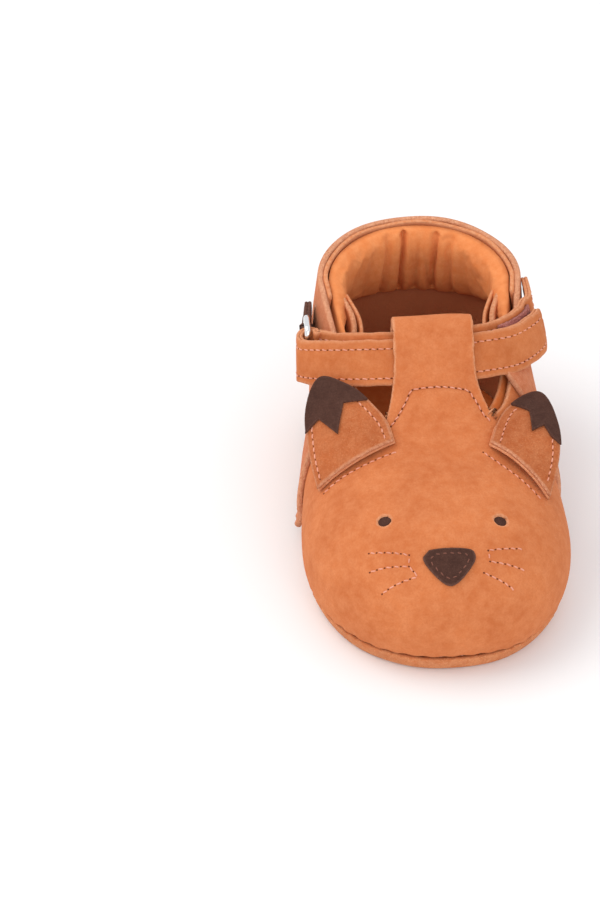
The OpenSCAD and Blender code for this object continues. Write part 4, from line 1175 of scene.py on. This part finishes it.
brown = leather("dark brown leather", srgb(76, 47, 37), srgb(54, 33, 27), srgb(102, 70, 58),
                edge=srgb(112, 78, 66),
                mottle=0.5, grain=1.0, fleck=0.25, bump=0.00018, rough=0.95, sheen=0.35)
a = np.linspace(-1.35, 1.35, 25) + np.pi
tab_line = np.concatenate([
    np.stack([np.linspace(-29.6, -30.55, 12), np.linspace(34.4, 26.2, 12)], 1)[:-1],
    np.stack([-30.1 + 1.45 * np.sin(a), 24.2 + 1.45 * np.cos(a)], 1),
    np.stack([np.linspace(-29.2, -28.6, 12), np.linspace(26.2, 34.4, 12)], 1)[1:]])
tab_line = spline(tab_line[::2], 4)
tab_points = np.stack([tab_line[:, 0], tab_line[:, 1], np.full(len(tab_line), 42.6)], 1)
vv, qq, edge, flesh = band(tab_points, np.tile([0.0, 0.0, 1.0], (len(tab_points), 1)), 4.5, 0.5, 0.95)
tab = put("ring_tab_leather", vv, qq, brown, edge=edge, flesh=flesh)
fit(tab, "bootie", "dark_leather", "ring_tab")

# ------------------------------------------------------------------------------------------------
# 11 Face. A nose of dark brown leather sewn on with a ring of stitches, dark leather behind the two
# punched eyes, and whiskers sewn in pinkish thread.
# ------------------------------------------------------------------------------------------------


def patch(outline, rings, place_at, above, thick):
    """A flat leather cut to a closed outline (about 0, 0) and laid on a surface: place_at gives points
    and normals for plan points. Returns the shell's points, faces, edge and flesh."""
    k = np.linspace(0, 1, rings + 1)[1:]
    uv = np.concatenate([[[0.0, 0.0]]] + [outline * r for r in k])
    p, n = place_at(uv)
    m = len(outline)
    i = np.arange(m)
    q = [np.stack([np.zeros(m, int), np.zeros(m, int), 1 + i, 1 + (i + 1) % m], 1)]
    for r in range(rings - 1):
        a, b = 1 + r * m, 1 + (r + 1) * m
        q.append(np.stack([a + i, b + i, b + (i + 1) % m, a + (i + 1) % m], 1))
    q = np.concatenate(q)
    v = p + n * above
    if (normals(v, q) * n).sum() < 0:
        q = q[:, ::-1]
    return shell(v, q, thick, bulge=0.3)


def closed_spline(points, n):
    """Closed Catmull-Rom curve through the points, n steps a span."""
    p = np.asarray(points, float)
    return spline(np.concatenate([p[-2:], p, p[:2]]), n)[2 * n:-2 * n][:len(p) * n]


def face_frame(x, y, d=0.0):
    """Point, sideways and upward directions and normal of the vamp at a plan point."""
    h = 0.1
    n = np.array([form_z(x - h, y) - form_z(x + h, y), form_z(x, y - h) - form_z(x, y + h), 2 * h])
    n = n / np.linalg.norm(n)
    ex = np.cross([0.0, 1.0, 0.0], n)
    ex /= np.linalg.norm(ex)
    return np.array([x, y, form_z(x, y, d)]), ex, np.cross(n, ex), n


def laid_on_vamp(at, d=0.0):
    """A placing function for patch(): plan points in the tangent frame at a place on the vamp."""
    c, ex, ey, n = face_frame(*at)

    def place(uv):
        """The points dropped along the frame's normal onto the form, and the form's normals there."""
        p = c + uv[:, :1] * ex + uv[:, 1:] * ey
        for _ in range(4):
            gap = form_z(p[:, 0], p[:, 1]) - p[:, 2]
            p = p + n * (gap * 0.9 * n[2])[:, None]
        h = 0.1
        m = np.stack([form_z(p[:, 0] - h, p[:, 1]) - form_z(p[:, 0] + h, p[:, 1]),
                      form_z(p[:, 0], p[:, 1] - h) - form_z(p[:, 0], p[:, 1] + h), np.full(len(p), 2 * h)], 1)
        m /= np.linalg.norm(m, axis=1, keepdims=True)
        return p + m * d, m
    return place


NOSE = closed_spline([[-5.2, 3.5], [0, 3.9], [5.2, 3.5], [6.5, 2.2], [6.1, 0.3], [3.4, -2.9], [1, -4.7],
                      [-1, -4.7],
                      [-3.4, -2.9], [-6.1, 0.3], [-6.5, 2.2]], 10)
NOSE = NOSE * [0.93, 1.0]
on_nose = laid_on_vamp((0.4, -52.3))
vv, qq, edge, flesh = patch(NOSE, 14, on_nose, 0.85, 0.8)
nose = put("nose_leather", vv, qq, brown, edge=edge, flesh=flesh)
fit(nose, "bootie", "dark_leather", "nose")
nose_line, nose_up = on_nose(np.concatenate([NOSE, NOSE[:1]]) * [0.74, 0.68])
nose_thread = leather("nose thread", srgb(122, 78, 64), srgb(92, 56, 46), srgb(150, 100, 84), mottle=0.4,
                      grain=0.6, rough=0.8)
v, q = stitches(nose_line + nose_up * 0.78, nose_up, pitch=1.75, length=1.2, radius=0.17, rise=0.06, seed=31)
nose_sewing = put("nose_stitches", v, q, nose_thread)
fit(nose_sewing, "bootie", "thread")

for name, at in (("eye_left", (-14.6, -39.2)), ("eye_right", (13.9, -40.6))):
    ring_at = np.arange(40) * 2 * np.pi / 40

    def domed(uv, lay=laid_on_vamp(at)):
        """The patch under the vamp, swelling up into the punched hole."""
        p, n = lay(uv)
        r = np.hypot(uv[:, 0] / 1.95, uv[:, 1] / 1.72)
        return p + n * (0.95 * smooth((0.99 - r) / 0.16) - 0.1 * r)[:, None], n

    vv, qq, edge, flesh = patch(np.stack([2.9 * np.cos(ring_at), 2.7 * np.sin(ring_at)], 1), 20, domed,
                                -1.45, 0.6)
    eye = put(name + "_leather", vv, qq, brown, edge=edge, flesh=flesh)
    fit(eye, "bootie", "dark_leather", name)

WHISKERS = {"whiskers_left": [[[-18.7, -46], [-9.2, -49.3]], [[-18.7, -49.8], [-9.4, -51.6]],
                              [[-16, -54.4], [-7.4, -53.8]],
                              [[-9.2, -49.3], [-9.4, -51.6]], [[-9.4, -51.6], [-7.4, -53.8]]],
            "whiskers_right": [[[10, -48.9], [18.9, -46.5]], [[10.3, -51.2], [19.1, -50.9]],
                               [[8.6, -53.6], [16.1, -55.1]],
                               [[10, -48.9], [10.3, -51.2]]]}
for name, lines in WHISKERS.items():
    parts = []
    for k, (a, b) in enumerate(lines):
        line, up = on_vamp(np.linspace(a, b, 12), 0.02)
        parts.append(stitches(line, up, rise=0.03, radius=0.2, seed=41 + k))
        holes.append(needle_holes(line, up, radius=0.3))
    v, q = merge(parts)
    sewn = put(name + "_thread", v, q, thread)
    fit(sewn, "bootie", "thread", name)

# ------------------------------------------------------------------------------------------------
# 12 Ears. Each is two leathers sewn together near their edges, with a zigzag-cut dark tip, rolled
# over its base chord, its base sewn down on the vamp.
# ------------------------------------------------------------------------------------------------
ear_suede = leather("ear suede", srgb(186, 101, 56), srgb(154, 76, 38), srgb(212, 142, 96),
                    edge=srgb(222, 160, 124),
                    flesh=srgb(200, 122, 82), mottle=0.6, grain=1.0, fleck=0.35, bump=0.0002, rough=0.95)
EARS = {
    "left": ([[-29, -19.4, 26.4], [-9.6, -14.6, 36.7]],
             [[0, 0.3], [1.6, 7], [3.8, 13.2], [6.2, 18.4], [9.8, 23], [13, 25.4], [15.4, 25], [18, 22],
              [20.8, 17.5],
              [22.4, 12.5], [23.4, 7], [22.7, 0.8]],
             [[-4, 14.4], [4.1, 14.3], [8.9, 15.4], [11.3, 9], [16.2, 16], [26, 12.5], [26, 40], [-4, 40]],
             "medial_ear", [12, 19], [[1.9, 1.6], [3.2, 6.8], [5.2, 12.2], [6.4, 15]],
             [[19.4, 14.6], [20.6, 10.6], [21.4, 6], [21, 1.6]]),
    "right": ([[12.9, -15.6, 36], [27, -28, 28.3]],
              [[0, 0.8], [-2.4, 6.5], [-3.8, 12], [-3.7, 17.5], [-2, 21.8], [0.8, 22.2], [6, 18.8],
               [11.8, 14], [16, 8.6],
               [20.4, 0.3]],
              [[-8, 15], [-2.5, 15.2], [1.2, 15.2], [5.5, 10], [6.6, 13.6], [9.9, 12.2], [26, 12.4],
               [26, 40], [-8, 40]],
              "lateral_ear", [3.2, 17.5], [[2, 1.8], [0, 6.6], [-1.6, 11.6], [-1.8, 14.8]],
              [[10.6, 12.2], [14.2, 7.8], [17.6, 1.8]]),
}


def ear_frame(base):
    """Origin, length, and the three directions of an ear standing on its base chord, lifted 22 degrees."""
    a, b = np.array(base, float)
    ex = (b - a) / np.linalg.norm(b - a)
    _, _, _, n = face_frame(*((a + b) / 2)[:2])
    back = np.cross(n, ex)
    back /= np.linalg.norm(back)
    ey = back * math.cos(math.radians(22)) + n * math.sin(math.radians(22))
    return a, np.linalg.norm(b - a), ex, ey, np.cross(ex, ey)


def rolled(frame_of, above):
    """A placing function: ear points on the rolled sheet, above the ear's back by that height."""
    a, length, ex, ey, ez = frame_of
    sag = 2.9
    radius = (length**2 / 4 + sag**2) / (2 * sag)

    def place(uv):
        """Points and normals of the rolled sheet; the tip curls over a little."""
        x = uv[:, 0] - length / 2
        r = radius + above
        z = sag - radius + np.sqrt(np.maximum(r * r - x * x, 1))
        curl = 0.0022 * np.maximum(uv[:, 1] - 6, 0) ** 2
        n = (x / r)[:, None] * ex + np.sqrt(np.maximum(1 - (x / r) ** 2, 0))[:, None] * ez
        return a + uv[:, :1] * ex + uv[:, 1:] * ey + (z - curl)[:, None] * ez, n
    return place


def off_vamp(v, gap):
    """Lifts the points that would lie in the vamp so that they rest on it, gap above."""
    z = form_z(v[:, 0], v[:, 1]) + gap
    return np.concatenate([v[:, :2], np.maximum(v[:, 2], z)[:, None]], 1)


def clip_to(outline, zigzag, centre, n):
    """The part of an outline on the far side of a zigzag, as a ring of n points round the centre."""
    angle = np.linspace(0, 2 * np.pi, n, endpoint=False)
    d = np.stack([np.cos(angle), np.sin(angle)], 1)
    reach = np.full(n, 1e9)
    for poly in (outline, zigzag):
        for a, b in zip(poly, np.roll(poly, -1, axis=0)):
            e = b - a
            det = d[:, 0] * -e[1] + d[:, 1] * e[0]
            w = a - centre
            with np.errstate(divide="ignore", invalid="ignore"):
                t = (w[0] * -e[1] + w[1] * e[0]) / det
                u = (d[:, 0] * w[1] - d[:, 1] * w[0]) / det
            ok = (t > 0) & (u >= -1e-6) & (u <= 1 + 1e-6)
            reach = np.where(ok & (t < reach), t, reach)
    return centre + d * reach[:, None]


for side_name, (base, shape, zig, body, tip_at, row_a, row_b) in EARS.items():
    frame_of = ear_frame(base)
    shape, zig = np.array(shape, float), np.array(zig, float)
    outline = np.concatenate([spline(shape, 9), np.linspace(shape[-1], shape[0], 30)[1:-1]])
    centre = outline.mean(0)
    for layer_name, above, thick, extra_in, look, slot_name in (
            ("back", 1.0, 0.98, 0.0, nubuck, "nubuck"), ("front", 2.04, 0.98, 0.15, ear_suede, "suede")):
        ring_uv = outline - centre
        ring_uv = ring_uv * (1 - extra_in / np.maximum(np.linalg.norm(ring_uv, axis=1, keepdims=True), 1))
        place = rolled(frame_of, above)
        vv, qq, edge, flesh = patch(ring_uv, 18, lambda uv, c=centre, f=place: f(uv + c), 0.0, thick)
        vv = off_vamp(vv, 0.06 + (above > 1.5) * 0.9)
        ear = put(f"ear_{side_name}_{layer_name}_leather", vv, qq, look, edge=edge, flesh=flesh)
        fit(ear, body, slot_name, f"ear_{side_name}_{layer_name}")
    tip_at = np.array(tip_at, float)
    tip_ring = clip_to(outline, zig, tip_at, 240)
    for corner_at in zig[1:6]:
        k = np.argmin(((tip_ring - corner_at) ** 2).sum(1))
        if ((tip_ring[k] - corner_at) ** 2).sum() < 1.0:
            tip_ring[k] = corner_at
    place = rolled(frame_of, 2.86)
    vv, qq, edge, flesh = patch(tip_ring - tip_at, 12, lambda uv, c=tip_at, f=place: f(uv + c), 0.0, 0.8)
    tip = put(f"ear_{side_name}_tip_leather", vv, qq, brown, edge=edge * 0.5, flesh=flesh)
    fit(tip, body, "dark_leather", f"ear_{side_name}_tip")
    parts, dark = [], []
    for k, line in enumerate((row_a, row_b)):
        uv = spline(line, 8)
        p, n = rolled(frame_of, 2.04)(uv)
        parts.append(stitches(p, n, rise=0.05, seed=51 + k))
        dark.append(needle_holes(p, n))
    v, q = merge(parts)
    sewn = put(f"ear_{side_name}_stitches", v, q, thread)
    fit(sewn, body, "thread")
    # the ear's needle holes: dark beads of painted shade
    v, q = merge(dark)
    sewn = put(f"ear_{side_name}_needle_holes", v, q, hole_shade_mat)
    fit(sewn, body, "dark_leather")
    a, b = np.array(base, float)
    t = np.linspace(0.02, 0.98, 24)[:, None]
    plan = (a * (1 - t) + b * t)[:, :2]
    ahead = np.cross(frame_of[2], [0, 0, 1])[:2]
    ahead *= np.sign(-ahead[1])
    line, up = on_vamp(plan + 2.0 * ahead / np.linalg.norm(ahead), 0.05)
    sewing.append(stitches(line, up, rise=0.04, seed=57))
    holes.append(needle_holes(line, up))

# ------------------------------------------------------------------------------------------------
# 13 Sewing threads. The rows of lockstitch on the vamp and the strap, with dark beads of painted shade at
# their needle holes.
# ------------------------------------------------------------------------------------------------
for name, parts, look, body in (("seam_stitches", sewing, thread, "bootie"),
                                ("needle_holes", holes, hole_shade_mat, "bootie"),
                                ("tail_stitches", tail_sewing, thread, None),
                                ("tail_needle_holes", tail_holes, hole_shade_mat, None)):
    v, q = merge(parts)
    rows = put(name, v, q, look)
    if body:
        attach(rows, body)
    else:
        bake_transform(rows)

# ------------------------------------------------------------------------------------------------
# 14 Floor, light and camera. A pale plain floor, one large soft light high at the left and back, and a
# bright even surround.
# ------------------------------------------------------------------------------------------------
floor_mat = bpy.data.materials.new("pale floor")
floor_mat.use_nodes = True
floor_shader = floor_mat.node_tree.nodes["Principled BSDF"]
floor_shader.inputs["Base Color"].default_value = (0.86, 0.85, 0.83, 1)
floor_shader.inputs["Roughness"].default_value = 0.8
floor_half = 3.0
floor_mesh = bpy.data.meshes.new("floor")
floor_mesh.from_pydata([(-floor_half, -floor_half, 0), (floor_half, -floor_half, 0),
                        (floor_half, floor_half, 0),
                        (-floor_half, floor_half, 0)], [], [(0, 1, 2, 3)])
floor_mesh.materials.append(floor_mat)
floor = bpy.data.objects.new("floor", floor_mesh)
bpy.context.scene.collection.objects.link(floor)


def area_light(name, at, to, size, watts, color=(1, 1, 1)):
    """A square area light at a place, turned to face another."""
    data = bpy.data.lights.new(name, "AREA")
    data.size, data.energy, data.color = size, watts, color
    obj = bpy.data.objects.new(name, data)
    obj.location = at
    obj.rotation_euler = (Vector(to) - Vector(at)).to_track_quat("-Z", "Y").to_euler()
    bpy.context.scene.collection.objects.link(obj)
    return obj


area_light("key", (-0.55, 0.1, 0.8), (0, 0, 0.02), 0.7, 3.6, (1.0, 0.98, 0.95))
area_light("front", (0.1, -0.9, 0.55), (0, 0, 0.02), 0.7, 2.6)
world = bpy.data.worlds.new("surround")
world.use_nodes = True
world.node_tree.nodes["Background"].inputs["Color"].default_value = (0.93, 0.95, 1.0, 1)
world.node_tree.nodes["Background"].inputs["Strength"].default_value = 1.0
bpy.context.scene.world = world
bpy.context.scene.view_settings.view_transform = "Standard"

camera_data = bpy.data.cameras.new("camera")
camera_data.lens = 109.2
camera_data.clip_start = 0.01
camera = bpy.data.objects.new("camera", camera_data)
camera.location = (-0.06187, -0.55085, 0.45596)
camera.rotation_euler = (Vector((-0.033, 0.0, 0.025)) - camera.location).to_track_quat("-Z", "Y").to_euler()
bpy.context.scene.collection.objects.link(camera)
bpy.context.scene.camera = camera
